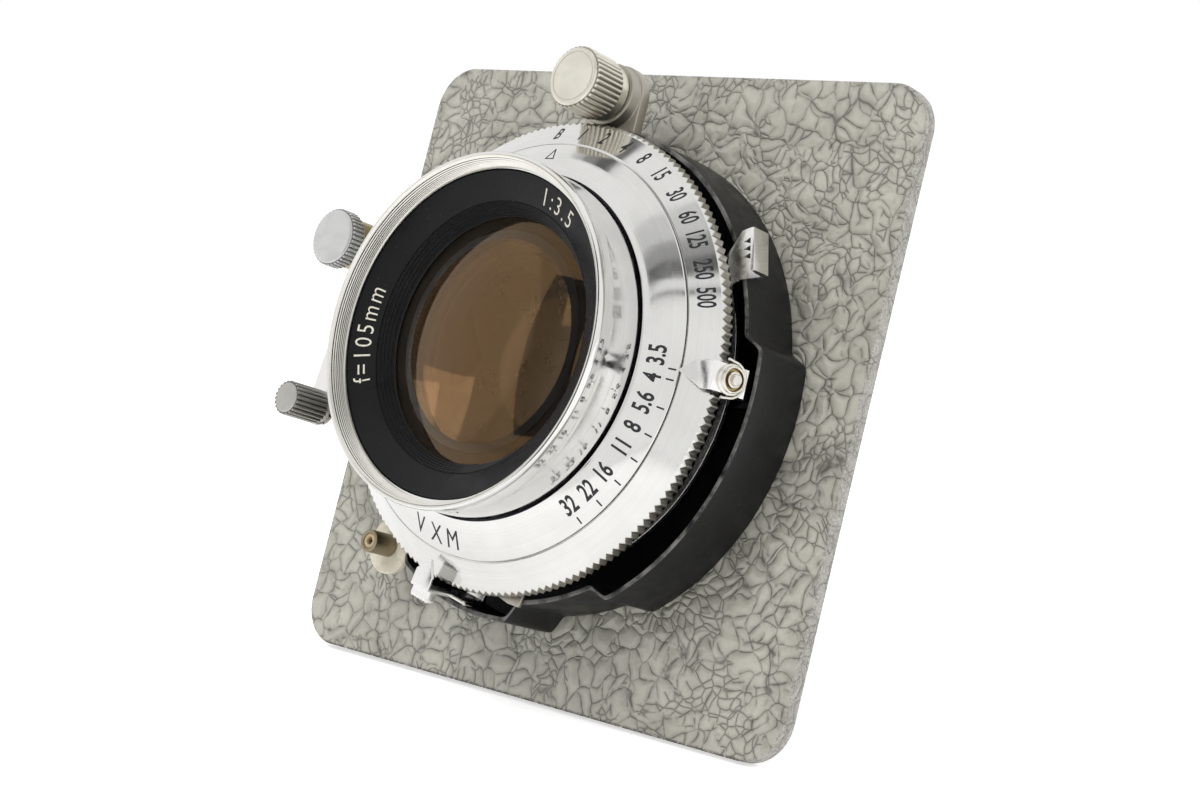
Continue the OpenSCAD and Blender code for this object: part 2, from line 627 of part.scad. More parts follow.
// Bent wire between the flash lever and its contact, held in the lever's riser.
link_z = hub_z + 1.5;
link_r = 0.25;
link_len = 2.6;
link_drop = 1.2;
module flash_link() upright() color("#d0d0cc") rotate([0, 0, flash_angle]) {
    translate([riser_r - link_r, flash_w / 2, link_z]) rotate([-90, 0, 0])
        cylinder(r = link_r, h = link_len, $fn = 16);
    translate([riser_r - link_r, flash_w / 2 + link_len - link_r, link_z - link_drop])
        cylinder(r = link_r, h = link_drop + link_r, $fn = 16);
}

// Small bracket on the case beside the flash lobe. Its corners are measured along the case and in
// from its outside.
bracket_t = 0.5;
bracket_len = 4.4;
module flash_bracket() upright() color("#b9b5a4")
    translate([bracket_len * 0.27, 0, case_rim_z]) linear_extrude(bracket_t)
    polygon([for (c = [[0, 0.9], [1, 1.6], [0.91, 0.05], [0.5, 0.2]]) [c[0] * bracket_len, c[1] - case_r]]);

// Place at a distance outside the case and an angle about the lens axis.
function outside(out, a) = (case_r + out) * [cos(a), sin(a)];

// Cocking lever: ring on the core, arm over the case's rim, riser and outer bar with the grip.
bar_skew = 2.42;          // how much nearer to the case the bar's upper end is
grip_at = outside(grip_out, 197.33);
bar_top = outside(grip_out - bar_skew, 185.09);
bar_z = side_face_z - grip_len - lever_t;
bar_w = grip_r * 2 + 0.2;
cock_angle = 184.5;
cock_ring_w = 3;          // width of the cocking lever's ring
cock_riser_out = 1.1;     // distance of its riser outside the case
jog_r = hub_flange_r + 0.4;   // where the arms of both levers step up, clear of the hub
module cocking_lever() upright() color("#dededc") {
    riser = case_r + cock_riser_out;
    ring(lever_ring_r, core_r + cock_ring_w, cock_z, drive_t);
    rotate([0, 0, cock_angle]) {
        translate([core_r + cock_ring_w - 1, -cock_w / 2, cock_z])
            cube([jog_r + riser_t + sink - core_r - cock_ring_w + 1, cock_w, drive_t]);
        translate([jog_r, -cock_w / 2, cock_z]) cube([riser_t + sink, cock_w, arm_z + arm_t - cock_z]);
        translate([jog_r, -cock_w / 2, arm_z]) cube([riser + riser_t - jog_r, cock_w, arm_t]);
        translate([riser, -cock_w / 2, arm_z]) cube([riser_t, cock_w, bar_z + lever_t - arm_z]);
        translate([riser, -cock_w / 2, bar_z])
            cube([grip_out - bar_skew - cock_riser_out - 1, cock_w, lever_t]);
    }
    translate([0, 0, bar_z]) linear_extrude(lever_t) {
        translate(grip_at) circle(r = bar_w / 2);
        translate(bar_top) circle(r = bar_w / 2);
        along = bar_top - grip_at;
        translate(grip_at) rotate(atan2(along[1], along[0]))
            translate([0, -bar_w / 2]) square([norm(along), bar_w]);
    }
}

// Straight-ribbed round bar: a polygon with a rib for each tooth.
module ribbed(r, depth, count, h) linear_extrude(h) polygon([for (i = [0:4 * count - 1])
    let (a = 90 / count * i) (i % 4 < 2 ? r : r - depth) * [cos(a), sin(a)]]);

module cocking_grip() upright() color("#9a9890") translate([grip_at[0], grip_at[1], bar_z + lever_t]) {
    cylinder(r1 = grip_r - 0.55, r2 = grip_r - 0.3, h = 0.5);
    translate([0, 0, 0.4]) ribbed(grip_r, 0.28, 22, grip_len - 0.5);
    translate([0, 0, grip_len - 0.2]) cylinder(r = grip_r - 0.32, h = 0.2);
}

// Release lever: ring on the core, arm that steps over the case's rim, flank and finger pad.
pad_top = outside(2.44, 35.69);
pad_low = outside(1.07, 26.65);
release_angle = 28.5;     // where the release lever's arm crosses the case's rim
release_lap = 1.6;        // length of the arm that lies under the pad's plate
module release_lever() upright() color("#dcdcd8") {
    ring(lever_ring_r, core_r + spacer_w, release_z, lever_t);
    rotate([0, 0, release_angle]) {
        translate([core_r + spacer_w / 2, -release_w / 2, release_z])
            cube([jog_r + riser_t - core_r - spacer_w / 2, release_w, lever_t]);
        translate([jog_r, -release_w / 2, release_z]) cube([riser_t, release_w, arm_z + arm_t - release_z]);
        translate([jog_r, -release_w / 2, arm_z]) cube([release_lap, release_w, arm_t]);
    }
    translate([0, 0, arm_z]) linear_extrude(arm_t) polygon([pad_top, pad_low, outside(2.33, 24.24),
        outside(-0.94, 25.76), outside(-1.88, 29.98), outside(-1.54, 32.67), outside(1.36, 36.1)]);
    along = pad_low - pad_top;
    translate([pad_top[0], pad_top[1], arm_z + arm_t - pad_len])
        rotate([0, 0, atan2(along[1], along[0])]) translate([0, -sink, 0])
        cube([norm(along), riser_t + sink, pad_len]);
}

boss_h = 1.6;             // height of the boss under each knob
face_bevel = 0.25;        // bevel round a knob's face
top_collar_h = 1.5;       // height of the upper knob's smooth collar
// Lug with a round end, outside the case, that carries a knob on a stud.
module knob_lug(at, half_w, stud_top) {
    difference() {
        translate([0, 0, case_rim_z - lug_t]) union() {
            translate([case_r - 1, -half_w, 0]) cube([at - case_r + 1, 2 * half_w, lug_t]);
            translate([at, 0, 0]) cylinder(r = half_w, h = lug_t);
        }
        translate([0, 0, case_rim_z - lug_t - 1]) cylinder(r = case_r - sink, h = lug_t + 2);
    }
    translate([at, 0, case_rim_z - eps]) cylinder(r = half_w - 0.25, h = boss_h + eps);
    translate([at, 0, case_rim_z]) cylinder(r = stud_r, h = stud_top - case_rim_z);
}

top_angle = 89.7;
module top_lug() upright() color("#9b9484") rotate([0, 0, top_angle])
    knob_lug(top_knob_at, top_knob_r + 0.25, top_face_z - 2);

// Upper knob: smooth collar, ribbed grip and plain face, with a blind hole for its stud.
module top_knob() upright() color("#e4e0d0") rotate([0, 0, top_angle])
    translate([top_knob_at, 0, 0]) difference() {
        base = case_rim_z + boss_h + edge_gap;
        union() {
            translate([0, 0, base]) cylinder(r = top_knob_r - 0.4, h = top_collar_h + 0.3);
            translate([0, 0, base + top_collar_h])
                ribbed(top_knob_r, 0.22, 36, top_face_z - base - top_collar_h - 0.2);
            translate([0, 0, top_face_z - face_bevel]) cylinder(r1 = top_knob_r - face_bevel,
                r2 = top_knob_r - 1.8 * face_bevel, h = face_bevel);
        }
        translate([0, 0, base - 1]) cylinder(r = stud_r + slip, h = top_face_z - 0.5 - base);
    }

module side_lug() upright() color("#8f8f8c") rotate([0, 0, side_knob_angle])
    knob_lug(side_knob_at, side_knob_r, side_face_z - 1.2);

collar_top = side_face_z - 2.4;
// Brass collar between the side lug and its knob.
module side_collar() upright() color("#a3926a") rotate([0, 0, side_knob_angle])
    translate([side_knob_at, 0, 0])
    ring(stud_r, side_knob_r - 0.55, case_rim_z + boss_h, collar_top - case_rim_z - boss_h);

module side_knob() upright() color("#d3d3d0") rotate([0, 0, side_knob_angle])
    translate([side_knob_at, 0, 0]) difference() {
        base = collar_top + edge_gap;
        union() {
            translate([0, 0, base]) ribbed(side_knob_r, 0.2, 40, side_face_z - base - 0.6 * face_bevel);
            translate([0, 0, side_face_z - face_bevel]) cylinder(r1 = side_knob_r - face_bevel,
                r2 = side_knob_r - 1.8 * face_bevel, h = face_bevel);
        }
        translate([0, 0, base - 1]) cylinder(r = stud_r + slip, h = side_face_z - base);
    }

// Flash socket: lug on the case, insulating flange, tube, insulator and contact.
socket_z = case_rim_z - 2.7;               // front of the flange
socket_t = 0.8;
socket_shank_r = socket_r - 0.25;          // tube where it is riveted through flange and lug
socket_back = socket_z - socket_t - 1.6;
module at_socket() rotate([0, 0, socket_angle]) translate([socket_at, 0, 0]) children();

module socket_lug() upright() color("#55534e") difference() {
    union() {
        rotate([0, 0, socket_angle]) translate([case_r - 1, -2, socket_z - socket_t - 1])
            cube([socket_at - case_r + 1, 4, 1]);
        at_socket() translate([0, 0, socket_z - socket_t - 1]) cylinder(r = 2.6, h = 1);
    }
    translate([0, 0, socket_back - 1]) cylinder(r = case_r - sink, h = socket_z - socket_back + 2);
    at_socket() translate([0, 0, socket_back - 1])
        cylinder(r = socket_shank_r, h = socket_z - socket_back + 2);
}

module socket_flange() upright() color("#e3dfc9") at_socket()
    ring(socket_shank_r, socket_flange_r, socket_z - socket_t, socket_t);

module socket_tube() upright() color("#7d7358") at_socket()
    rotate_extrude() polygon([[socket_r - socket_wall, socket_back], [socket_shank_r, socket_back],
        [socket_shank_r, socket_z], [socket_r, socket_z], [socket_r, socket_z + socket_len],
        [socket_r - socket_wall, socket_z + socket_len]]);

insulator_r = socket_r - socket_wall;
contact_r = insulator_r / 2;
module socket_insulator() upright() color("#d9c9a4") at_socket()
    ring(contact_r, insulator_r, socket_back, socket_z + socket_len - 0.2 - socket_back);

module socket_contact() upright() color("#4b3c1e") at_socket()
    ring(contact_r - 0.25, contact_r, socket_back - 0.8, socket_z + socket_len + 0.2 - socket_back);

// Rear cell: barrel screwed into the core from behind, its glass and retainer.
rear_back = -tube_len - rear_len;
rear_in_r = stem_in_r - 0.6;
rear_barrel_r = rear_flange_r - barrel_step;
module rear_barrel() upright() color("#1e1e20") rotate_extrude() polygon([
    [stem_in_r, core_z - 0.3], [stem_r, core_z - 0.3], [stem_r, -tube_len],
    [rear_flange_r, -tube_len], [rear_flange_r, -tube_len - 1.6], [rear_barrel_r, -tube_len - 2.2],
    [rear_barrel_r, rear_back + 0.3], [rear_barrel_r - 0.3, rear_back], [stem_in_r, rear_back],
    [stem_in_r, rear_seat_z], [rear_in_r, rear_seat_z], [rear_in_r, -tube_len],
    [stem_in_r, -tube_len]]);

rear_seat_z = -tube_len - 1;               // shoulder that the rear glass rests on
rear_edge = 1.5;
rear_back_curve = 38;
rear_front_curve = 400;
module rear_glass() upright() color("#c3a06c", 0.5)
    lens(stem_in_r - slip, rear_in_r, rear_seat_z - rear_edge, rear_back_curve, rear_seat_z,
        rear_front_curve);

module rear_retainer() upright() color("#161618")
    ring(rear_in_r, stem_in_r - slip, rear_back + 0.3, rear_seat_z - rear_edge - rear_back - 0.3);

lens_board();
jam_nut();
shutter_case();
case_screws();
shutter_core();
front_hub();
face_plate();
speed_ring();
front_barrel();
name_ring();
front_retainer();
front_glass();
glass_spacer();
second_glass();
inner_retainer();
mid_plate();
iris_ring();
aperture_pointer();
pointer_nut();
pointer_clip();
iris_blade(1);  // iris_blade_1
iris_blade(2);  // iris_blade_2
iris_blade(3);  // iris_blade_3
iris_blade(4);  // iris_blade_4
iris_blade(5);  // iris_blade_5
shutter_ring();
shutter_blade(1);  // shutter_blade_1
shutter_blade(2);  // shutter_blade_2
shutter_blade(3);  // shutter_blade_3
shutter_blade(4);  // shutter_blade_4
shutter_blade(5);  // shutter_blade_5
lower_spacer();
upper_spacer();
flash_lever();
flash_link();
flash_bracket();
cocking_lever();
cocking_grip();
release_lever();
top_lug();
top_knob();
side_lug();
side_collar();
side_knob();
socket_flange();
socket_tube();
socket_insulator();
socket_contact();
socket_lug();
rear_barrel();
rear_glass();
rear_retainer();
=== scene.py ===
import json
import math

import bpy
from mathutils import Matrix, Vector


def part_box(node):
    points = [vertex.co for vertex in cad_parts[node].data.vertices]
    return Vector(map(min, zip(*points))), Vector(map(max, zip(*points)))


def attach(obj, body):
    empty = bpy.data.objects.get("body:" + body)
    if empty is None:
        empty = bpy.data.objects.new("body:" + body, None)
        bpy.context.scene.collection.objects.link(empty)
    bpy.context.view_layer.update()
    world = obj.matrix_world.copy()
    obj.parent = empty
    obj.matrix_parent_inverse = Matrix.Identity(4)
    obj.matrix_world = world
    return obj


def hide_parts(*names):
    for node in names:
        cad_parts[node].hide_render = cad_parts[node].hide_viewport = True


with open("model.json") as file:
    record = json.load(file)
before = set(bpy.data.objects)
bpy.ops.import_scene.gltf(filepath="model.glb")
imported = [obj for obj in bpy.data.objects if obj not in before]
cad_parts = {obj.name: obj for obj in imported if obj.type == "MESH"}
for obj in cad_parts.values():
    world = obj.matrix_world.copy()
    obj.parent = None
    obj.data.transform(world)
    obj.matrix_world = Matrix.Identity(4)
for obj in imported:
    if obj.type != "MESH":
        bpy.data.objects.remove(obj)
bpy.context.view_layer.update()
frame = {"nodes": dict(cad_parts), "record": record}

# ------------------------------------------------------------------ camera, floor and light
# The lens stands on its board's lower edge and leans back, seen from its right and a little below
# the axis. The floor passes through that edge, and everything round it is plain white.
MM = 0.001
scene = bpy.context.scene
scene.view_settings.view_transform = "Standard"
view_azimuth, view_elevation, view_roll = math.radians(41.64), math.radians(-5.27), math.radians(13.86)
ahead = -Vector((math.sin(view_azimuth) * math.cos(view_elevation),
                 -math.cos(view_azimuth) * math.cos(view_elevation), math.sin(view_elevation)))
level_right = ahead.cross(Vector((0, 0, 1))).normalized()
level_up = level_right.cross(ahead)
right = math.cos(view_roll) * level_right + math.sin(view_roll) * level_up
up = math.cos(view_roll) * level_up - math.sin(view_roll) * level_right

camera_data = bpy.data.cameras.new("camera")
camera_data.lens, camera_data.sensor_width = 68.16, 36.0
camera_data.clip_start, camera_data.clip_end = 0.01, 20.0
eye_point = Vector((187.67, -211.06, -28.29)) * MM


def new_object(name, data):
    """Put a new object in the scene."""
    made = bpy.data.objects.new(name, data)
    scene.collection.objects.link(made)
    return made


scene.camera = camera = new_object("camera", camera_data)
camera.matrix_world = Matrix.Translation(eye_point) @ Matrix((right, up, -ahead)).transposed().to_4x4()


def new_mesh(name, points, faces, edges=()):
    mesh = bpy.data.meshes.new(name)
    mesh.from_pydata(points, edges, faces)
    return new_object(name, mesh)


def add_node(tree, kind, *values, **settings):
    """New node; its inputs take the values in order: a number, a tuple, an output to link or None."""
    node = tree.nodes.new("ShaderNode" + kind)
    for key, value in settings.items():
        setattr(node, key, value)
    for socket, value in zip(node.inputs, values):
        if isinstance(value, bpy.types.NodeSocket):
            tree.links.new(value, socket)
        elif value is not None:
            socket.default_value = value
    return node


def calc(operation, *values, **settings):
    """Math node in the tree of its values, which are numbers or outputs to link."""
    tree = next(value.id_data for value in values if isinstance(value, bpy.types.NodeSocket))
    return add_node(tree, "Math", *values, operation=operation, **settings).outputs[0]


def blank_tree(owner):
    owner.use_nodes = True
    owner.node_tree.nodes.clear()
    return owner.node_tree


board_low, board_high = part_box("lens_board")
floor_tilt = math.radians(10)
floor_up = (math.cos(floor_tilt) * up - math.sin(floor_tilt) * ahead).normalized()
bpy.ops.mesh.primitive_plane_add(size=3.0, location=(0, 0, board_low.z))
floor = bpy.context.object
floor.name = "floor"
floor.rotation_mode = "QUATERNION"
floor.rotation_quaternion = floor_up.to_track_quat("Z", "Y")

white = bpy.data.materials.new("white_floor")
tree = blank_tree(white)
matt = add_node(tree, "BsdfDiffuse", (0.85, 0.85, 0.85, 1))
looked_at = add_node(tree, "LightPath").outputs["Is Camera Ray"]
glow = add_node(tree, "Emission", None, add_node(tree, "MapRange", looked_at, 0, 1, 0.32, 0.56).outputs[0])
both = add_node(tree, "AddShader", matt.outputs[0], glow.outputs[0])
clear = add_node(tree, "BsdfTransparent")
behind = add_node(tree, "NewGeometry").outputs["Backfacing"]
choose = add_node(tree, "MixShader", behind, both.outputs[0], clear.outputs[0])
add_node(tree, "OutputMaterial", choose.outputs[0])
floor.data.materials.append(white)

world = bpy.data.worlds.new("studio")
scene.world = world
tree = blank_tree(world)
path = add_node(tree, "LightPath").outputs
seen = calc("MAXIMUM", path["Is Camera Ray"], path["Is Glossy Ray"])
seen = calc("MAXIMUM", seen, path["Is Transmission Ray"])
fill, shown = (add_node(tree, "Background", (1, 1, 1, 1), strength).outputs[0] for strength in (0.62, 1.0))
add_node(tree, "OutputWorld", add_node(tree, "MixShader", seen, fill, shown).outputs[0])


def softbox(name, place, size, power):
    """Square lamp in front of the lens, turned to face it; place is right, up and towards the camera."""
    data = bpy.data.lights.new(name, "AREA")
    data.size, data.energy = size, power
    lamp = new_object(name, data)
    lamp.location = right * place[0] + up * place[1] - ahead * place[2]
    lamp.rotation_mode = "QUATERNION"
    lamp.rotation_quaternion = (-lamp.location).to_track_quat("-Z", "Y")
    lamp.visible_camera = lamp.visible_glossy = False


softbox("key_light", (-0.35, 0.55, 0.30), 0.45, 2.6)
softbox("side_light", (0.55, 0.30, 0.20), 0.35, 1.0)


def mirrored(angle, slope):
    """Where the eye is sent by a cone of a slope round the lens axis, at an angle; both in degrees."""
    turn_by, tilt = math.radians(angle), math.radians(slope)
    across = math.sin(tilt)
    normal = Vector((math.cos(turn_by) * across, -math.cos(tilt), math.sin(turn_by) * across))
    return -2 * normal.dot(ahead) * normal + ahead


def reflected_card(name, directions, shade):
    """Grey card half a metre away that only shiny surfaces see, its corners in four directions."""
    card = new_mesh(name, [Vector(way) * 0.5 for way in directions], [(0, 1, 2, 3)])
    card.visible_camera = card.visible_diffuse = card.visible_shadow = card.visible_transmission = False
    paint = bpy.data.materials.new(name)
    tree = blank_tree(paint)
    add_node(tree, "OutputMaterial", add_node(tree, "Emission", (shade, shade, shade, 1)).outputs[0])
    card.data.materials.append(paint)


for number, (start, end, steep, shade) in enumerate((
        (69, 75, 33.5, 0.13), (75, 80, 33.5, 0.30), (80, 84, 33.5, 0.62), (21, 22.5, 24, 0.12),
        (26, 31, 24, 0.14), (31, 37, 24, 0.38), (37, 46, 24, 0.72))):
    reflected_card(f"dial_card_{number}", [mirrored(start, steep), mirrored(end, steep),
                                           mirrored(end, 43), mirrored(start, 43)], shade)
reflected_card("glass_card", [(-0.40, -0.90, -0.30), (-0.12, -0.97, -0.30), (-0.12, -0.97, 0.45),
                              (-0.40, -0.90, 0.45)], 0.01)


# ------------------------------------------------------------------ lens board
# A square of sheet metal with round corners, painted in hammered enamel: pale domed cells parted by dark
# cracks, each cell darkened towards its cracks by painted shade. The edge is worn, and a ridge pressed out
# of the back keeps light out.
def select_only(piece):
    """Make one piece the only selected one, and the active one."""
    bpy.ops.object.select_all(action="DESELECT")
    piece.select_set(True)
    bpy.context.view_layer.objects.active = piece


def apply_modifier(piece, kind, **settings):
    """Add a modifier, set it up and apply it to the mesh."""
    select_only(piece)
    modifier = piece.modifiers.new(kind.lower(), kind)
    for key, value in settings.items():
        setattr(modifier, key, value)
    bpy.ops.object.modifier_apply(modifier=modifier.name)


def smooth(piece, degrees=32):
    """Shade smooth, but keep the edges that turn by more than the angle."""
    select_only(piece)
    bpy.ops.object.shade_smooth_by_angle(angle=math.radians(degrees))


def place_piece(piece, body, slot, material, *replaced):
    """Give a piece its material and its body, and hide the nodes that it stands for; the slot is not used.
    """
    piece.data.materials.clear()
    piece.data.materials.append(material)
    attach(piece, body)
    if replaced:
        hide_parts(*replaced)


def settled(name):
    """Name the piece just made and move its place and size into its mesh."""
    piece = bpy.context.object
    bpy.ops.object.transform_apply(location=True, rotation=True, scale=True)
    piece.name = piece.data.name = name
    return piece


def block(name, low, high):
    """Box between two corners in millimetres right, forward and up, its place in its mesh."""
    low, high = Vector((low[0], -low[1], low[2])), Vector((high[0], -high[1], high[2]))
    bpy.ops.mesh.primitive_cube_add(size=1, location=(low + high) / 2 * MM,
                                    scale=[abs(side) * MM for side in high - low])
    return settled(name)


def bevel_edges(piece, wanted, width, segments):
    """Round off the edges for which wanted(first end, second end) is true."""
    select_only(piece)
    bpy.context.tool_settings.mesh_select_mode = (False, True, False)
    for part in (*piece.data.vertices, *piece.data.edges, *piece.data.polygons):
        part.select = False
    points = piece.data.vertices
    for edge in piece.data.edges:
        edge.select = wanted(points[edge.vertices[0]].co, points[edge.vertices[1]].co)
    bpy.ops.object.mode_set(mode="EDIT")
    bpy.ops.mesh.bevel(offset=width, segments=segments, affect="EDGES")
    bpy.ops.object.mode_set(mode="OBJECT")


def runs_along_y(a, b):
    return abs(a.y - b.y) > 0.5 * MM and (a - b).xz.length < 1e-5


def round_edges(piece, width, segments, degrees):
    """Round off, by a width in millimetres, the edges that turn by more than the angle."""
    apply_modifier(piece, "BEVEL", width=width * MM, segments=segments, limit_method="ANGLE",
                   angle_limit=math.radians(degrees))


def cut_away(piece, cutter):
    """Cut one piece out of another, and delete the cutter."""
    apply_modifier(piece, "BOOLEAN", operation="DIFFERENCE", object=cutter, solver="EXACT")
    bpy.data.objects.remove(cutter, do_unlink=True)


def join(pieces, name):
    """Join pieces into the first one."""
    select_only(pieces[0])
    for piece in pieces:
        piece.select_set(True)
    bpy.ops.object.join()
    pieces[0].name = pieces[0].data.name = name
    return pieces[0]


board_side = (board_high.x - board_low.x) / MM
board_middle = (board_high.z + board_low.z) / 2 / MM
board_front = -board_low.y / MM
ridge_back = -board_high.y / MM
corner_radius, board_edge_radius = 5.5, 0.32
hole_radius, spot_radius, ridge_inset, ridge_width = 17.35, 20.5, 5.0, 1.6


def rounded_plate(name, inset, back, front, radius):
    half = board_side / 2 - inset
    plate = block(name, (-half, back, board_middle - half), (half, front, board_middle + half))
    bevel_edges(plate, runs_along_y, radius * MM, 14)
    return plate


def turned_post(name, radius, back, front):
    """Plain round bar on the lens axis, used to cut holes."""
    bpy.ops.mesh.primitive_cylinder_add(vertices=128, radius=radius * MM, depth=(front - back) * MM,
                                        location=(0, -(back + front) / 2 * MM, 0),
                                        rotation=(math.pi / 2, 0, 0))
    return settled(name)


board = rounded_plate("board", 0, 0, board_front, corner_radius)
cut_away(board, turned_post("hole_cutter", hole_radius, -2, board_front + 2))
cut_away(board, turned_post("spot_cutter", spot_radius, -2, 0.1))
round_edges(board, board_edge_radius, 4, 50)
ridge = rounded_plate("ridge", ridge_inset, ridge_back, 0.05, 1.0)
cut_away(ridge, rounded_plate("ridge_core", ridge_inset + ridge_width, ridge_back - 1, 1.0, 1.0))
round_edges(ridge, 0.25, 3, 50)
board = join([board, ridge], "board")
smooth(board)


def new_material(name, color, metallic=0.0, roughness=0.5, **sockets):
    """Principled material with plain settings; returns the material, its tree and its shader."""
    material = bpy.data.materials.new(name)
    material.use_nodes = True
    shader = material.node_tree.nodes["Principled BSDF"]
    shader.inputs["Base Color"].default_value = (*color, 1)
    shader.inputs["Metallic"].default_value = metallic
    shader.inputs["Roughness"].default_value = roughness
    for key, value in sockets.items():
        shader.inputs[key.replace("_", " ")].default_value = value
    return material, material.node_tree, shader


def link(output, node, name):
    node.id_data.links.new(output, node.inputs[name])


def times(first, second):
    return calc("MULTIPLY", first, second)


def scaled(value, by, plus):
    return calc("MULTIPLY_ADD", value, by, plus)


def inverse(share):
    return calc("SUBTRACT", 1.0, share)


def vector(operation, *values):
    """Vector Math node in the tree of its values, which are triples or outputs to link."""
    node = add_node(values[0].id_data, "VectorMath", *values, operation=operation)
    return node.outputs["Value" if operation in ("LENGTH", "DOT_PRODUCT") else 0]


def step(value, low, high):
    """Smooth step of a value from low to high."""
    return add_node(value.id_data, "MapRange", value, low, high, interpolation_type="SMOOTHSTEP").outputs[0]


def noise(place, scale, detail=3.0, rough=0.55, output="Fac"):
    """Noise in cycles a millimetre."""
    return add_node(place.id_data, "TexNoise", place, None, scale, detail, rough).outputs[output]


def blend(share, first, second):
    """Mix of two colours, each a triple or an output."""
    colors = [(*color, 1) if isinstance(color, tuple) else color for color in (first, second)]
    return add_node(share.id_data, "Mix", share, *[None] * 5, *colors, data_type="RGBA").outputs[2]


def place_in_mm(tree):
    """The point on the piece, in millimetres."""
    return vector("MULTIPLY", add_node(tree, "TexCoord").outputs["Object"], (1000.0, 1000.0, 1000.0))


def bump(shader, height, depth_mm, strength=1.0):
    """Bump whose height is a share of the depth."""
    node = add_node(height.id_data, "Bump", strength, depth_mm * MM)
    link(height, node, "Height")
    link(node.outputs[0], shader, "Normal")


def cell_edges(place, size):
    """Distance in millimetres from the nearest edge of round cells of a size."""
    edge = add_node(place.id_data, "TexVoronoi", place, None, 1 / size, feature="DISTANCE_TO_EDGE")
    return times(edge.outputs["Distance"], size)


hammered, tree, shader = new_material("hammered_enamel", (0.43, 0.43, 0.37), 0.0, 0.36,
                                      Coat_Weight=0.2, Coat_Roughness=0.25)
spot = place_in_mm(tree)
drift = vector("SUBTRACT", noise(spot, 0.07, 1.0, output="Color"), (0.5, 0.5, 0.5))
sway = vector("SUBTRACT", noise(spot, 0.38, 0.0, output="Color"), (0.5, 0.5, 0.5))
warped = vector("ADD", spot, vector("MULTIPLY", drift, (5.0, 5.0, 5.0)))
warped = vector("ADD", warped, vector("MULTIPLY", sway, (1.9, 1.9, 1.9)))
bubble, small_bubble, vein = (cell_edges(warped, size) for size in (2.7, 1.5, 5.4))
strong = noise(spot, 0.24, rough=0.6)
broken = step(noise(spot, 0.8, 2.0), 0.38, 0.62)
crowded = step(noise(spot, 0.13, 2.0), 0.5, 0.54)
lone = inverse(times(crowded, 0.75))
# Each network of cells gives a thin dark line, which is the cracks' own colour, and a soft painted shade
# that darkens the domed cells towards their edges, as far as the hollow's reach.
cracks_and_shade = []
for edge, line, hollow, dark, share in (
        (bubble, 0.06, 0.9, 0.32, times(lone, scaled(broken, 0.7, 0.3))),
        (small_bubble, 0.045, 0.5, 0.36, times(crowded, 0.85)),
        (vein, 0.11, 1.15, 0.42, step(strong, 0.46, 0.62))):
    sharp = inverse(step(edge, line * 0.1, line * 1.9))
    soft = calc("POWER", calc("SUBTRACT", 1.0, calc("DIVIDE", edge, hollow), use_clamp=True), 2.2)
    both = scaled(soft, 0.58, times(sharp, dark))
    cracks_and_shade.append(times(both, share))
crack_and_shade = calc("MAXIMUM", cracks_and_shade[2], calc("MAXIMUM", cracks_and_shade[0], cracks_and_shade[1]))
crack_and_shade = calc("MINIMUM", crack_and_shade, 1.0)
tone = noise(spot, 0.1)
speckle = noise(spot, 4.5, 4.0, 0.7)
enamel = blend(step(tone, 0.35, 0.65), (0.405, 0.395, 0.335), (0.49, 0.48, 0.41))
enamel = blend(step(speckle, 0.54, 0.74), enamel, (0.37, 0.36, 0.31))
# The dark colour paints both the crack lines and the painted shade round them.
cracked_and_shaded = blend(crack_and_shade, enamel, (0.11, 0.106, 0.088))
straight_half = board_side / 2 - corner_radius
reach = vector("SUBTRACT", vector("ABSOLUTE", vector("ADD", spot, (0.0, 0.0, -board_middle))),
               (straight_half, 1000.0, straight_half))
to_edge = calc("SUBTRACT", corner_radius, vector("LENGTH", vector("MAXIMUM", reach, (0.0, 0.0, 0.0))))
ragged = noise(spot, 1.3, 4.0, 0.7)
worn_by = calc("SUBTRACT", to_edge, scaled(ragged, 1.6, -0.6))
worn = inverse(step(worn_by, -0.1, 0.14))
grain = noise(spot, 3.4, 4.0, 0.75)
bare = blend(step(grain, 0.42, 0.6), (0.5, 0.49, 0.45), (0.2, 0.19, 0.165))
edged = blend(times(worn, 0.7), cracked_and_shaded, bare)
board_foot = board_low.z / MM
# The board is darkened, in speckles, along its bottom edge.
foot = inverse(step(vector("DOT_PRODUCT", spot, (0.0, 0.0, 1.0)), board_foot + 0.1, board_foot + 0.45))
darkened_foot = times(foot, step(grain, 0.36, 0.52))
link(blend(times(darkened_foot, 0.9), edged, (0.05, 0.042, 0.034)), shader, "Base Color")
puff = calc("POWER", calc("DIVIDE", bubble, 0.95, use_clamp=True), 0.5)
small_puff = calc("POWER", calc("DIVIDE", small_bubble, 0.5, use_clamp=True), 0.55)
puffed = scaled(times(small_puff, crowded), 0.7, times(puff, lone))
swell = times(step(vein, -0.2, 1.6), 0.8)
bump(shader, calc("ADD", puffed, scaled(speckle, 0.04, swell)), 0.34, 1.0)
place_piece(board, "board_and_case", "hammered_paint", hammered, "lens_board")


# ------------------------------------------------------------------ jam nut and rear cell
# Behind the board a slotted nut on the shutter's threaded tube clamps it to the board. The rear cell
# is a turned black barrel with a milled flange, screwed into that tube, with its glass behind a ring.
def edit_mesh(piece, *steps):
    """Run tools on the whole mesh; a step is a tool's name and its settings."""
    select_only(piece)
    bpy.ops.object.mode_set(mode="EDIT")
    for tool, settings in steps:
        bpy.ops.mesh.select_all(action="SELECT")
        getattr(bpy.ops.mesh, tool)(**settings)
    bpy.ops.object.mode_set(mode="OBJECT")


def corners(radius, forward, *steps):
    """Points of an outline as steps out and forward from one corner, in millimetres."""
    return [(radius + out, forward + on) for out, on in steps]


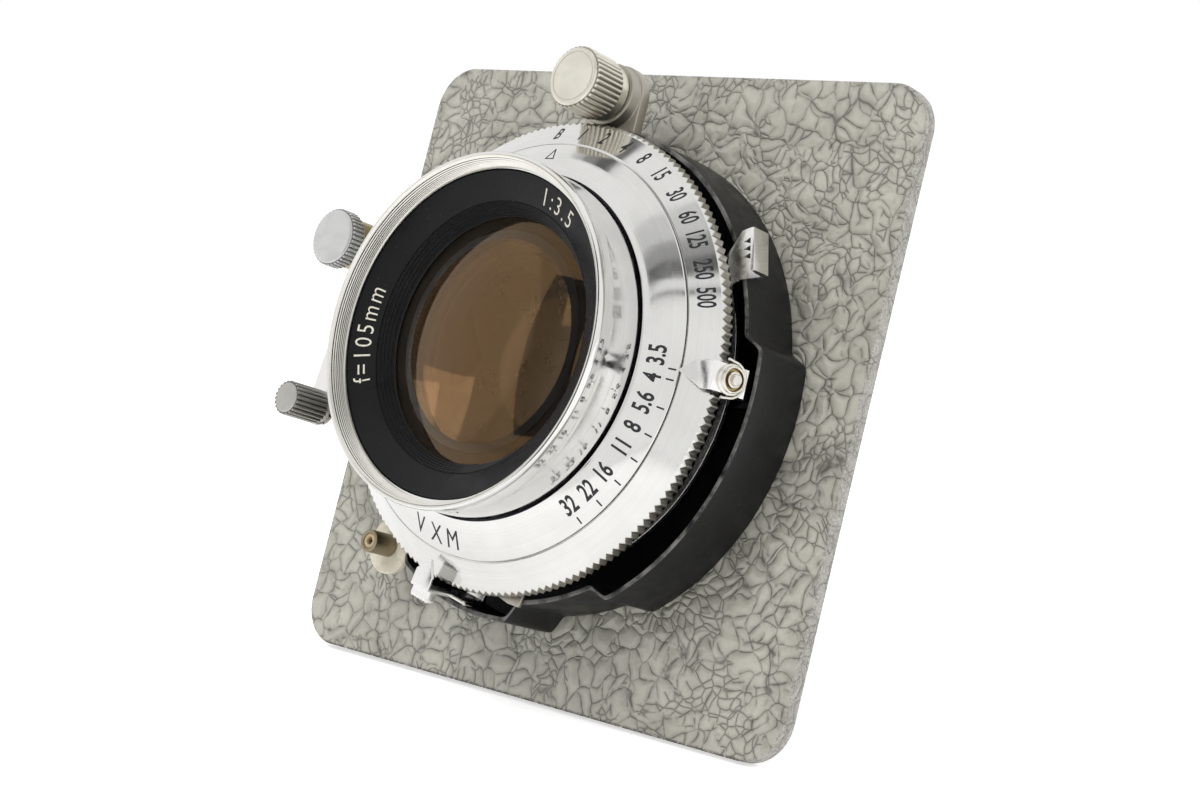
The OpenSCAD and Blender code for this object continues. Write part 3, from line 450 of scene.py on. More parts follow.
def turned(name, outline, steps=144, centre=(0.0, 0.0), shade=30):
    """Spin a closed outline of (radius, forward) points in millimetres about an axis along Y."""
    points = [(max(r, 0.0) * MM, -f * MM, 0.0) for r, f in outline]
    piece = new_mesh(name, points, [], [(i, (i + 1) % len(points)) for i in range(len(points))])
    edit_mesh(piece, ("spin", {"steps": steps, "angle": 2 * math.pi, "axis": (0, 1, 0),
                        "center": (0, 0, 0)}),
              ("remove_doubles", {"threshold": 1e-6}), ("delete_loose", {}),
              ("normals_make_consistent", {"inside": False}))
    piece.data.transform(Matrix.Translation((centre[0] * MM, 0, centre[1] * MM)))
    smooth(piece, shade)
    return piece


def chamfered(outline, size=0.12):
    """Cut each sharp corner of an outline back by a small chamfer."""
    made = []
    for i, point in enumerate(outline):
        here, before, after = Vector(point), Vector(outline[i - 1]), Vector(outline[(i + 1) % len(outline)])
        back, on = before - here, after - here
        cut = min(size, 0.3 * back.length, 0.3 * on.length)
        if here.x < 1e-6 or cut < 0.01 or math.pi - back.angle(on) < math.radians(28):
            made.append(tuple(here))
            continue
        back, on = back.normalized() * cut, on.normalized() * cut
        made += [tuple(here + back), tuple(here + (back + on) * 0.29), tuple(here + on)]
    return made


def ridged(start, end, count, depth):
    """Points of a row of round ridges from start to end, standing out to the left of the way."""
    a, b = Vector(start), Vector(end)
    side = Vector((a.y - b.y, b.x - a.x)).normalized()
    points = []
    for i in range(count * 4 + 1):
        lift = depth * 0.5 * (1 - math.cos(2 * math.pi * (i % 4) / 4))
        points.append(tuple(a + (b - a) * i / (count * 4) + side * lift))
    return points


def softened(node, width=0.1, segments=2):
    """Copy of a CAD node with its flats dissolved and its sharp edges rounded."""
    piece = new_object(node + "_finished", frame["nodes"][node].data.copy())
    edit_mesh(piece, ("remove_doubles", {"threshold": 2e-6}),
              ("dissolve_limited", {"angle_limit": math.radians(0.3)}))
    round_edges(piece, width, segments, 32)
    smooth(piece, 34)
    return piece


def group_socket(tree, name, direction, kind="NodeSocketFloat", default=None):
    socket = tree.interface.new_socket(name=name, in_out=direction, socket_type=kind)
    if default is not None:
        socket.default_value = default


def make_turned_grain():
    """Fine rings left by the lathe: Height and Tone go round the Centre, in millimetres."""
    tree = bpy.data.node_groups.new("turned_grain", "ShaderNodeTree")
    group_socket(tree, "Centre", "INPUT", "NodeSocketVector", (0.0, 0.0, 0.0))
    group_socket(tree, "Rings a millimetre", "INPUT", default=9.0)
    group_socket(tree, "Height", "OUTPUT")
    group_socket(tree, "Tone", "OUTPUT")
    inputs, outputs = tree.nodes.new("NodeGroupInput"), tree.nodes.new("NodeGroupOutput")
    spot = place_in_mm(tree)
    flat = vector("MULTIPLY", vector("SUBTRACT", spot, inputs.outputs["Centre"]), (1.0, 0.0, 1.0))
    radius = vector("LENGTH", flat)
    depth = vector("DOT_PRODUCT", spot, (0.0, 1.0, 0.0))
    along = times(calc("SUBTRACT", radius, depth), inputs.outputs["Rings a millimetre"])
    rings = noise(add_node(tree, "CombineXYZ", along).outputs[0], 1.0, 2.0)
    broad = noise(spot, 0.22)
    link(rings, outputs, "Height")
    link(scaled(broad, 0.5, times(rings, 0.5)), outputs, "Tone")
    return tree


def make_handling():
    """Marks of use: Smudge is broad and soft, Speck is dust, Height is the dust's and the scratches'."""
    tree = bpy.data.node_groups.new("handling_marks", "ShaderNodeTree")
    group_socket(tree, "Speck size", "INPUT", default=2.0)
    group_socket(tree, "Smudge", "OUTPUT")
    group_socket(tree, "Speck", "OUTPUT")
    group_socket(tree, "Height", "OUTPUT")
    inputs, outputs = tree.nodes.new("NodeGroupInput"), tree.nodes.new("NodeGroupOutput")
    spot = place_in_mm(tree)
    broad = noise(spot, 0.35, 4.0, 0.6)
    finer = vector("SCALE", spot)
    link(inputs.outputs["Speck size"], finer.node, "Scale")
    dust = noise(finer, 1.0, 2.0, 0.6)
    speck = step(dust, 0.7, 0.78)
    streaks = noise(vector("MULTIPLY", spot, (0.6, 5.0, 9.0)), 1.0, 2.0)
    link(step(broad, 0.35, 0.7), outputs, "Smudge")
    link(speck, outputs, "Speck")
    link(scaled(streaks, 0.4, times(speck, 0.3)), outputs, "Height")
    return tree


turned_grain, handling_marks = make_turned_grain(), make_handling()


def add_group(tree, group, **values):
    """Put a group in a tree and give its outputs."""
    node = add_node(tree, "Group", node_tree=group)
    for key, value in values.items():
        node.inputs[key.replace("_", " ")].default_value = value
    return node.outputs


def dimmed(color, share):
    return tuple(c * share for c in color)


def metal(name, color, roughness, grain=0.0, rings=9.0, centre=(0, 0), dirt=(0.25, 0.22, 0.17),
          dirt_share=0.25, **sockets):
    """Turned or plain metal with smudges, dust and lathe rings; grain is the rings' depth."""
    material, tree, shader = new_material(name, color, 1.0, roughness, **sockets)
    marks = add_group(tree, handling_marks, Speck_size=2.2)
    lathe = add_group(tree, turned_grain, Rings_a_millimetre=rings, Centre=(centre[0], 0.0, centre[1]))
    tint = blend(times(marks["Speck"], dirt_share), color, dirt)
    link(blend(step(lathe["Tone"], 0.3, 0.7), dimmed(color, 0.9), tint), shader, "Base Color")
    link(scaled(marks["Smudge"], 0.1, roughness - 0.03), shader, "Roughness")
    bump(shader, scaled(lathe["Height"], grain, times(marks["Height"], 0.25)), 0.012, 0.6)
    return material


def satin_black(name, color=(0.014, 0.014, 0.015), roughness=0.36, grain=0.5, rings=6.0, gloss=0.4):
    """Black anodised or painted metal with faint lathe rings and dust."""
    material, tree, shader = new_material(name, color, 0.0, roughness, Specular_IOR_Level=gloss)
    marks = add_group(tree, handling_marks, Speck_size=3.0)
    lathe = add_group(tree, turned_grain, Rings_a_millimetre=rings)
    link(blend(times(marks["Speck"], 0.35), color, (0.2, 0.19, 0.17)), shader, "Base Color")
    link(scaled(marks["Smudge"], 0.14, roughness - 0.05), shader, "Roughness")
    bump(shader, scaled(lathe["Height"], grain, times(marks["Height"], 0.3)), 0.02, 0.6)
    return material


black_anodised = satin_black("black_anodised")
jam_nut = softened("jam_nut", 0.15)
place_piece(jam_nut, "board_and_case", "black_anodised", black_anodised, "jam_nut")

rear_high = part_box("rear_barrel")[1]
rear_back, rear_radius = -rear_high.y / MM, rear_high.x / MM
flange_back, thread_front, rear_bore, stem_radius = -3.5, 2.4, 13.35, 14.75
outline = [(rear_bore, thread_front), (stem_radius, thread_front)]
outline += ridged((stem_radius, thread_front - 0.4), (stem_radius, flange_back + 0.2), 8, -0.12)
outline += [(stem_radius, flange_back), (rear_radius, flange_back)]
outline += corners(rear_radius, flange_back, (0, -0.5), (-0.25, -0.7), (0, -0.9), (0, -1.6), (-0.8, -2.2))
outline += corners(rear_radius, rear_back, (-0.8, 0.3), (-1.1, 0))
outline += corners(rear_bore, rear_back, (0.5, 0), (0, 0.5))
outline += corners(rear_bore, flange_back, (0, -1.0), (-0.6, -1.0), (-0.6, 0), (0, 0))
rear_cell = turned("rear_cell", chamfered(outline, 0.1))
place_piece(rear_cell, "board_and_case", "black_anodised", black_anodised, "rear_barrel")

rear_ring_low, rear_ring_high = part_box("rear_retainer")
ring_back, ring_front = -rear_ring_high.y / MM, -rear_ring_low.y / MM
glass_rim, ring_mouth, rear_clear = 13.3, 12.95, 12.75
outline = [(glass_rim, ring_front), (glass_rim, ring_back), (ring_mouth, ring_back),
           *ridged((ring_mouth, ring_back), (rear_clear, ring_front - 0.1), 3, -0.1),
           (rear_clear, ring_front)]
rear_stop = turned("rear_glass_ring", outline)
place_piece(rear_stop, "board_and_case", "black_anodised", black_anodised, "rear_retainer")


# ------------------------------------------------------------------ shutter case and core
# The case is a drawn drum with two lobes that make room for the levers, in satin black enamel with a thin
# pale line along its rim: a painted highlight of the rim's glint, broken up like wear to bare metal. Three
# screws hold it to the core, and both are black inside.
case_rim = -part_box("shutter_case")[0].y / MM
enamel_black = (0.008, 0.008, 0.0085)
black_enamel, tree, shader = new_material("black_enamel", enamel_black, 0.0, 0.42, Specular_IOR_Level=0.32)
spot = place_in_mm(tree)
marks = add_group(tree, handling_marks, Speck_size=2.6)
dusty = blend(times(marks["Speck"], 0.4), enamel_black, (0.17, 0.165, 0.15))
# Painted highlight: a thin pale line along the front of the rim stands in for its glint, and noise breaks it
# up like worn enamel.
at_rim = step(vector("DOT_PRODUCT", spot, (0.0, -1.0, 0.0)), case_rim - 0.07, case_rim - 0.03)
rim_glint_and_wear = times(at_rim, step(noise(spot, 0.35, 4.0, 0.65), 0.34, 0.66))
link(blend(times(rim_glint_and_wear, 0.6), dusty, (0.34, 0.33, 0.31)), shader, "Base Color")
link(scaled(marks["Smudge"], 0.16, 0.36), shader, "Roughness")
bump(shader, scaled(marks["Height"], 0.4, noise(spot, 5.0, rough=0.6)), 0.03, 0.5)
case = softened("shutter_case", 0.12, 3)
place_piece(case, "board_and_case", "black_enamel", black_enamel, "shutter_case")

dark_metal = metal("dark_metal", (0.045, 0.045, 0.05), 0.38, 0.8, 7.0, dirt=(0.12, 0.11, 0.10))
core = softened("shutter_core", 0.08)
place_piece(core, "board_and_case", "dark_metal", dark_metal, "shutter_core")


# ------------------------------------------------------------------ speed ring
# A turned ring in satin silver with a straight knurl round its edge, so that a finger can turn it.
# The shutter times are engraved in its cone and filled with black.
ring_low, ring_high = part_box("speed_ring")
ring_tip, ring_back, ring_front = ring_high.x / MM, -ring_high.y / MM, -ring_low.y / MM
ring_bore, ring_lip, ring_root, ring_neck = 25.35, 25.75, ring_tip - 0.4, ring_tip - 1.2
ring_slope, knurl_back, ring_step, ring_teeth = math.radians(36.5), ring_back + 1.45, 16.43, 174


def ring_height(radius):
    return ring_front + 0.012 - (radius - ring_lip) * math.tan(ring_slope)


outline = [(ring_bore, ring_back), (ring_neck - 0.1, ring_back), (ring_neck, ring_back + 0.1),
           (ring_neck, knurl_back), *corners(ring_root, knurl_back, (-0.15, 0), (0, 0.15), (0, 0.6)),
           (ring_root, ring_height(ring_root) - 0.1),
           (ring_root - 0.08, ring_height(ring_root - 0.08) - 0.012), (ring_lip + 0.12, ring_front - 0.09),
           (ring_lip, ring_front - 0.12), (ring_lip, ring_step), (ring_bore, ring_step)]
speed_ring = turned("speed_ring_finished", outline, steps=ring_teeth * 6, shade=24)
for vertex in speed_ring.data.vertices:
    x, z, forward = vertex.co.x / MM, vertex.co.z / MM, -vertex.co.y / MM
    radius = math.hypot(x, z)
    if radius > ring_root - 1e-3:
        phase = math.atan2(z, x) / (2 * math.pi) * ring_teeth % 1.0
        tooth = (ring_tip - ring_root) * (1.0 - abs(2 * phase - 1))
        if forward > knurl_back + 1.0:
            vertex.co.y += tooth * math.tan(ring_slope) * MM
        vertex.co.x, vertex.co.z = x * (1 + tooth / radius) * MM, z * (1 + tooth / radius) * MM

satin_silver, tree, shader = new_material("satin_silver", (0.72, 0.72, 0.71), 1.0, 0.16, Anisotropic=0.5)
link(add_node(tree, "Tangent", direction_type="RADIAL", axis="Y").outputs[0], shader, "Tangent")
marks = add_group(tree, handling_marks, Speck_size=2.4)
lathe = add_group(tree, turned_grain, Rings_a_millimetre=7.0)
spot = place_in_mm(tree)
outward = vector("LENGTH", vector("MULTIPLY", spot, (1.0, 0.0, 1.0)))
forward = vector("DOT_PRODUCT", spot, (0.0, -1.0, 0.0))
below_face = calc("SUBTRACT", scaled(outward, -math.tan(ring_slope), ring_height(0.0)), forward)
# The knurl's walls are rougher from milling, and their colour is darkened to olive grey, partly dirt and
# partly painted shade.
milled = times(step(outward, ring_root - 0.16, ring_root - 0.08), step(below_face, 0.05, 0.11))
# Painted shade: near black in the knurl's valleys and on the neck behind the knurl.
painted_shade = calc("MAXIMUM", times(inverse(step(outward, ring_root - 0.05, ring_root + 0.1)), milled),
             inverse(step(forward, knurl_back - 0.05, knurl_back + 0.05)))
face = blend(times(marks["Speck"], 0.35), (0.75, 0.745, 0.725), (0.32, 0.3, 0.26))
face = blend(step(lathe["Tone"], 0.35, 0.65), face, (0.69, 0.685, 0.665))
face = blend(times(milled, 0.9), face, (0.44, 0.42, 0.37))
link(blend(times(painted_shade, 0.6), face, (0.03, 0.028, 0.024)), shader, "Base Color")
link(scaled(milled, 0.24, scaled(marks["Smudge"], 0.06, 0.08)), shader, "Roughness")
bump(shader, scaled(marks["Height"], 0.15, lathe["Height"]), 0.01, 0.6)
place_piece(speed_ring, "speed_dial", "satin_silver", satin_silver, "speed_ring")


def on_cone(points, angle, radius, face_height, slope, tops_out):
    """Lay points of a flat drawing, in millimetres, on a cone about the lens axis.

    The drawing's middle goes to the angle and radius; face_height gives the cone's height at a radius,
    and the slope is how steeply it falls outwards.
    """
    laid, way = [], 1 if tops_out else -1
    for x, y in points:
        turn_by, out = angle - way * x / radius, radius + way * y * math.cos(slope)
        laid.append(Vector((out * math.cos(turn_by), -face_height(out), out * math.sin(turn_by))) * MM)
    return laid


def as_mesh(curve_piece):
    """Turn a curve or text object into a mesh."""
    select_only(curve_piece)
    bpy.ops.object.convert(target="MESH")
    return bpy.context.object


def letters(name, marks, height, squeeze, radius, face_height, slope, tops_out, weight=0.0, font_space=1.0):
    """One mesh of filled lettering, laid on a cone; marks are (words, angle in degrees)."""
    pieces = []
    for words, angle in marks:
        curve = bpy.data.curves.new(name, "FONT")
        curve.body, curve.align_x, curve.align_y = words, "CENTER", "CENTER"
        curve.resolution_u, curve.offset, curve.space_character = 3, weight, font_space
        piece = as_mesh(new_object(name, curve))
        edit_mesh(piece, ("remove_doubles", {"threshold": 1e-5}), ("quads_convert_to_tris", {}),
                  ("subdivide", {"number_cuts": 2}))
        tall = 0.70 if len(words) < 4 or words.isdigit() else 0.72
        middle = sum(v.co.x for v in piece.data.vertices) / len(piece.data.vertices)
        low = min(v.co.y for v in piece.data.vertices)
        unit = height / tall
        flat = [((v.co.x - middle) * unit * squeeze, (v.co.y - low - tall / 2) * unit)
                for v in piece.data.vertices]
        laid = on_cone(flat, math.radians(angle), radius, face_height, slope, tops_out)
        for vertex, place in zip(piece.data.vertices, laid):
            vertex.co = place
        pieces.append(piece)
    return join(pieces, name)


filled_black, tree, shader = new_material("filled_black", (0.012, 0.012, 0.014), 0.0, 0.5)
rub = noise(place_in_mm(tree), 3.0, 4.0, 0.7)
link(blend(step(rub, 0.6, 0.78), (0.01, 0.01, 0.012), (0.09, 0.09, 0.09)), shader, "Base Color")
speeds = [("B", 95.7), ("1", 87.8), ("2", 80.2), ("4", 72.3), ("8", 65.1), ("15", 57.0), ("30", 49.7),
          ("60", 42.0), ("125", 34.7), ("250", 27.0), ("500", 19.7)]
speed_numbers = letters("speed_numbers", speeds, 2.15, 0.55, 27.4, ring_height, ring_slope, True, 0.018)
place_piece(speed_numbers, "speed_dial", None, filled_black)


# ------------------------------------------------------------------ face plate and hub
# A thin satin plate over the hub carries the stops, the flash letters and the index for the speeds,
# and holds the speed ring down. The dark hub shows in the gap round the barrel.
plate_low, plate_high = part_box("face_plate")
plate_edge, plate_top = plate_high.x / MM, -plate_low.y / MM
plate_inner, plate_slope, plate_thick = 21.3, math.radians(30.5), 0.6
plate_crown = plate_top - 0.02
plate_fall = (plate_edge - plate_inner) * math.tan(plate_slope)


def plate_height(radius):
    return plate_crown + 0.012 - (radius - plate_inner) * math.tan(plate_slope)


outline = [(plate_inner, plate_crown - plate_thick), (plate_edge, plate_crown - plate_thick - plate_fall),
           (plate_edge, plate_crown - plate_fall), (plate_inner, plate_crown)]
face_plate = turned("face_plate_finished", chamfered(outline, 0.1), steps=192)
place_piece(face_plate, "board_and_case", "satin_silver", satin_silver, "face_plate")

stops = [("3.5", 3.6), ("4", -2.3), ("5.6", -9.6), ("8", -17.2), ("11", -23.7), ("16", -31.8),
         ("22", -39.9), ("32", -47.5)]
stop_numbers = letters("stop_numbers", stops, 2.05, 0.67, 23.2, plate_height, plate_slope, False, 0.024)
flash_letters = letters("flash_letters", [("V", -107.3), ("X", -100.0), ("M", -93.0)], 2.5, 0.80, 23.7,
                        plate_height, plate_slope, False, 0.0)


def stroke(points, width):
    """Flat line of a width along some points: the corners of each straight piece, as quads."""
    quads = []
    for a, b in zip(points, points[1:]):
        a, b = Vector(a), Vector(b)
        along = (b - a).normalized() * width / 2
        side = Vector((-along.y, along.x))
        quads.append((a - along - side, b + along - side, b + along + side, a - along + side))
    return quads


def drawn(name, figures, radius, face_height, slope, tops_out):
    """Mesh of flat strokes on a cone; figures are (quads, angle in degrees)."""
    points, faces = [], []
    for quads, angle in figures:
        for quad in quads:
            faces.append(tuple(range(len(points), len(points) + 4)))
            points += on_cone(quad, math.radians(angle), radius, face_height, slope, tops_out)
    return new_mesh(name, points, faces)


tick = stroke([(0, -0.38), (0, 0.36)], 0.20)
ticks = drawn("stop_ticks", [(tick, a) for a in (0.8, -2.0, -9.7, -17.4, -24.8, -32.3, -39.9, -47.5)],
              24.95, plate_height, plate_slope, True)
triangle = stroke([(-0.62, -0.75), (0, 0.85), (0.62, -0.75), (-0.62, -0.75)], 0.17)
index_mark = drawn("index_mark", [(triangle, 92.2)], 24.05, plate_height, plate_slope, True)
plate_marks = join([stop_numbers, flash_letters, ticks, index_mark], "plate_marks")
place_piece(plate_marks, "board_and_case", None, filled_black)

hub = softened("front_hub", 0.08)
place_piece(hub, "board_and_case", "dark_metal", dark_metal, "front_hub")


# ------------------------------------------------------------------ front barrel
# The polished chrome barrel of the front cell: a flared outside with a bright rim, and a bore with a
# fine filter thread. Its neck is undercut where it meets the face plate.
barrel_low, barrel_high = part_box("front_barrel")
rim_front, rim_radius, stem_back = -barrel_low.y / MM, barrel_high.x / MM, -barrel_high.y / MM
foot_radius, filter_radius, filter_floor = 21.0, 20.2, rim_front - 2.0
stem_inner, hub_top = rear_bore, plate_top - plate_thick
name_foot, lens_rim, lens_floor = 23.3, 16.85, 20.6
outline = [(stem_inner, stem_back), (stem_radius, stem_back), (stem_radius, hub_top + 0.01),
           (foot_radius - 0.6, hub_top + 0.01),
           *corners(foot_radius, plate_top, (-0.6, 0.02), (0.08, 0.05), (0.12, 0.12))]
outline += [(foot_radius + 0.12 + (rim_radius - 0.37 - foot_radius) * t * t, plate_top + 0.12 +
             (rim_front - 1.6 - plate_top - 0.12) * t) for t in (0.25, 0.5, 0.75, 1.0)]
outline += corners(rim_radius, rim_front, (-0.04, -1.15), (0, -0.9), (0, -0.25), (-0.07, -0.07),
                   (-0.25, 0), (-0.4, -0.02))
thread_front, thread_length, turns, thread_depth = rim_front - 0.06, 1.84, 8, 0.11


def bore_at(forward):
    """Radius of the thread's crests, which flare out to the rim."""
    share = min(1.0, max(0.0, (thread_front - forward) / thread_length))
    return filter_radius + (rim_radius - 0.42 - thread_depth - filter_radius) * (1 - share) ** 2.4


for turn in range(turns):
    for share, cut in ((0.08, thread_depth), (0.66, thread_depth), (0.94, 0.0)):
        forward = thread_front - thread_length * (turn + share) / turns
        outline.append((bore_at(forward) + cut, forward))
outline += [(filter_radius, filter_floor), (filter_radius - 0.25, filter_floor),
            (filter_radius - 0.25, name_foot), (lens_rim, name_foot), (lens_rim, lens_floor),
            (stem_inner, lens_floor)]
barrel = turned("barrel_finished", outline, steps=192, shade=40)
polished_chrome = metal("polished_chrome", (0.82, 0.815, 0.80), 0.10, 0.12, 5.0, dirt_share=0.15)
thread_metal = metal("thread_metal", (0.86, 0.84, 0.78), 0.34, 0.10, 5.0, dirt=(0.30, 0.28, 0.24),
                     dirt_share=0.3)
place_piece(barrel, "board_and_case", "polished_chrome", polished_chrome, "front_barrel")
lamp_black = new_material("lamp_black", (0.018, 0.012, 0.008), 0.0, 0.6, Specular_IOR_Level=0.2)[0]
for extra in (black_anodised, thread_metal, lamp_black, dark_metal):
    barrel.data.materials.append(extra)
in_black, on_thread, in_shade, in_groove_shadow = 1, 2, 3, 4
for face in barrel.data.polygons:
    out, forward = math.hypot(face.center.x, face.center.z) / MM, -face.center.y / MM
    facing_in = face.normal.x * face.center.x + face.normal.z * face.center.z < 0
    inside = forward > hub_top + 0.02 or facing_in
    if inside and out < filter_radius - 0.2:
        face.material_index = in_shade if out < lens_rim + 0.05 else in_black
    # Faces deep in the filter thread's valleys get the dark metal as painted shadow.
    elif facing_in and forward > filter_floor + 0.05:
        deep = out > bore_at(forward) + thread_depth * 0.8 and forward < thread_front - 0.28
        face.material_index = in_groove_shadow if deep else on_thread


# ------------------------------------------------------------------ name ring and glass retainer
# The name ring is a dished black ring that holds plain optical data in cream. Inside it the glass is
# held by a screwed cone with fine grooves, black so that it throws no light back.
name_low, name_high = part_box("name_ring")
name_outer, name_front = name_high.x / MM, -name_low.y / MM
name_inner, name_rise = 16.5, 1.5
name_slope = -math.atan(name_rise / (name_outer - name_inner))


def name_height(radius):
    return name_front + 0.015 - (name_outer - radius) * name_rise / (name_outer - name_inner)


outline = [(name_inner, name_foot), (name_outer, name_foot), (name_outer, name_front - 0.1),
           (name_outer - 0.12, name_front - 0.05), (name_inner + 0.1, name_front - name_rise + 0.04),
           (name_inner, name_front - name_rise - 0.04)]
name_ring = turned("name_ring_finished", outline, steps=192)
satin_charcoal = satin_black("satin_charcoal", (0.009, 0.009, 0.0095), 0.26, 0.20, 5.0, 0.14)
place_piece(name_ring, "board_and_case", "black_anodised", satin_charcoal, "name_ring")

cream_paint, tree, shader = new_material("cream_paint", (0.72, 0.69, 0.58), 0.0, 0.55)
chalk = noise(place_in_mm(tree), 2.5, 4.0, 0.7)
link(blend(step(chalk, 0.45, 0.75), (0.74, 0.71, 0.6), (0.52, 0.49, 0.4)), shader, "Base Color")
optical_data = letters("optical_data", [("1:3.5", 61.0), ("f=105mm", 184.0)], 2.3, 0.84, 18.2, name_height,
                       name_slope, True, -0.006, 1.25)
place_piece(optical_data, "board_and_case", None, cream_paint)

glass_front = -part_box("front_glass")[0].y / MM
glass_clear, glass_radius, front_curve = 15.05, 16.8, 50.0


def sagitta(curve, radius):
    return curve - math.sqrt(curve * curve - radius * radius)


retainer_lip = glass_front - sagitta(front_curve, glass_clear)
outline = [(glass_clear, retainer_lip + 0.02), (glass_radius, retainer_lip + 0.02),
           (glass_radius, name_foot), (name_inner - 0.05, name_foot)]
cone_top = Vector((name_inner - 0.05, name_front - name_rise - 0.05))
cone_low = Vector((glass_clear + 0.05, retainer_lip + 0.22))
for groove in range(5):
    high = cone_top.lerp(cone_low, groove / 5)
    low = cone_top.lerp(cone_low, (groove + 0.8) / 5) + Vector((0.12, -0.12))
    outline += [tuple(high), tuple(high.lerp(low, 0.5) + Vector((0.03, 0.0))), tuple(low)]
outline += [tuple(cone_low), (glass_clear, retainer_lip + 0.12)]
retainer = turned("glass_retainer", outline, steps=160, shade=20)
place_piece(retainer, "board_and_case", "black_anodised", black_anodised, "front_retainer")


# ------------------------------------------------------------------ glasses
# Three glasses with amber-brown coatings: two in the front cell and one behind the shutter. Each face
# gives back a little warm light, and the rest goes down into the black inside of the shutter.
def curved_face(level, curve, seat, way, rings=20):
    """Points from the middle of a glass's face to its seat; a positive curve bulges the way given."""
    radii = [seat * i / rings for i in range(rings + 1)]
    return [(radius, level + way * math.copysign(sagitta(abs(curve), seat) - sagitta(abs(curve), radius),
                                                 curve)) for radius in radii]


def lens(name, rim, seat, back, back_curve, front, front_curve):
    """Turned glass: back and front are its seats, and the curves are the radii of its faces."""
    outline = [*curved_face(back, back_curve, seat, -1), (rim, back), (rim, front),
               *curved_face(front, front_curve, seat, 1)[::-1]]
    return turned(name, outline, steps=128, shade=20)


coated_glass, tree, shader = new_material("coated_glass", (0.93, 0.86, 0.74), 0.0, 0.0, IOR=1.66,
                                          Specular_Tint=(1.0, 0.57, 0.22, 1), Transmission_Weight=1.0)
marks = add_group(tree, handling_marks, Speck_size=1.4)
link(times(marks["Speck"], 0.03), shader, "Roughness")
quiet_glass = new_material("quiet_glass", (0.90, 0.84, 0.74), 0.0, 0.0, IOR=1.45, Specular_IOR_Level=0.3,
                           Specular_Tint=(1.0, 0.56, 0.26, 1), Transmission_Weight=1.0)[0]
front_seat = glass_front - sagitta(front_curve, glass_radius)
front_glass = lens("front_glass_finished", glass_radius, glass_radius - 0.05, 20.62, 300, front_seat,
                   front_curve)
place_piece(front_glass, "board_and_case", "coated_glass", coated_glass, "front_glass")
front_glass.data.materials.append(quiet_glass)
for face in front_glass.data.polygons:
    face.material_index = int(-face.center.y / MM < front_seat - 0.05)
for node, seat, back, back_curve, front, curve in (("second_glass", 12.2, 11.8, -40, 17.0, -60),
                                                   ("rear_glass", rear_clear, -6.0, 38, -4.5, 400)):
    glass = lens(node + "_finished", glass_rim, seat, back, back_curve, front, curve)
    place_piece(glass, "board_and_case", "coated_glass", quiet_glass, node)


# ------------------------------------------------------------------ levers
# Flat levers stamped from sheet metal and plated white: the stop pointer with its stepped nut and
# wire clip, the flash lever, the cocking lever and the release. Their arms run under the speed ring.
white_nickel = metal("white_nickel", (0.90, 0.89, 0.87), 0.24, 0.0, dirt=(0.40, 0.36, 0.30),
                     dirt_share=0.3)
screw_steel = metal("screw_steel", (0.80, 0.78, 0.72), 0.20, 0.3, 8.0, dirt=(0.2, 0.16, 0.1),
                    dirt_share=0.5)
aged_nickel = metal("aged_nickel", (0.46, 0.43, 0.37), 0.40, 0.0, dirt=(0.16, 0.13, 0.09), dirt_share=0.7)
for node, body, slot, material, width in (
        ("iris_ring", "aperture_drive", "dark_metal", dark_metal, 0.08),
        ("flash_lever", "flash_selector", "white_nickel", white_nickel, 0.09),
        ("flash_link", "flash_selector", "screw_steel", screw_steel, 0.05),
        ("flash_bracket", "board_and_case", "aged_nickel", aged_nickel, 0.08),
        ("cocking_lever", "cocking_arm", "white_nickel", white_nickel, 0.12),
        ("top_lug", "board_and_case", "aged_nickel", aged_nickel, 0.15),
        ("side_lug", "board_and_case", "aged_nickel", aged_nickel, 0.15),
        ("socket_lug", "board_and_case", "aged_nickel", aged_nickel, 0.12)):
    place_piece(softened(node, width), body, slot, material, node)

pointer = softened("aperture_pointer", 0.08)
blade_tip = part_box("aperture_pointer")[0].x / MM
for vertex in pointer.data.vertices:
    along = vertex.co.x / MM - blade_tip
    if along < 4.4:
        stretched = min(along, 1.95) * 1.9 + max(0.0, along - 1.95) * 0.52 - 0.5
        vertex.co.x = (blade_tip + min(stretched, max(along, 4.3))) * MM
place_piece(pointer, "aperture_drive", "white_nickel", white_nickel, "aperture_pointer")

lean, lever_turn = math.radians(15), math.radians(0.8)
nut_axis = Vector((math.cos(lean) * math.cos(lever_turn), -math.sin(lean),
                   math.cos(lean) * math.sin(lever_turn)))
nut_points = [vertex.co for vertex in frame["nodes"]["pointer_nut"].data.vertices]
seat = min(point.dot(nut_axis) for point in nut_points)
low_points = [point for point in nut_points if point.dot(nut_axis) < seat + 0.01 * MM]
nut_seat = sum(low_points, Vector()) / len(low_points)
stand = Matrix.Translation(nut_seat) @ Vector((0, -1, 0)).rotation_difference(nut_axis).to_matrix().to_4x4()
outline = [(0.0, 0.0), (1.72, 0.0), (1.80, 0.08), (1.80, 0.34), (1.72, 0.42), (1.60, 0.46), (1.56, 0.88),
           (1.48, 0.96), (1.36, 0.96), (1.28, 0.88), (1.20, 0.55), (0.98, 0.55), (0.94, 0.98), (0.86, 1.06),
           (0.70, 1.06), (0.64, 1.00), (0.62, 1.42), (0.54, 1.50), (0.0, 1.50)]
nut = turned("pointer_nut_finished", outline, steps=64, shade=24)
recess = [face.index for face in nut.data.polygons
          if 0.95 < face.center.xz.length / MM < 1.30 and -face.center.y > 0.5 * MM]
nut.data.transform(stand)
place_piece(nut, "aperture_drive", "screw_steel", screw_steel, "pointer_nut")
nut_gilt = new_material("nut_gilt", (0.40, 0.31, 0.14), 1.0, 0.4)[0]
nut.data.materials.append(nut_gilt)
for index in recess:
    nut.data.polygons[index].material_index = 1

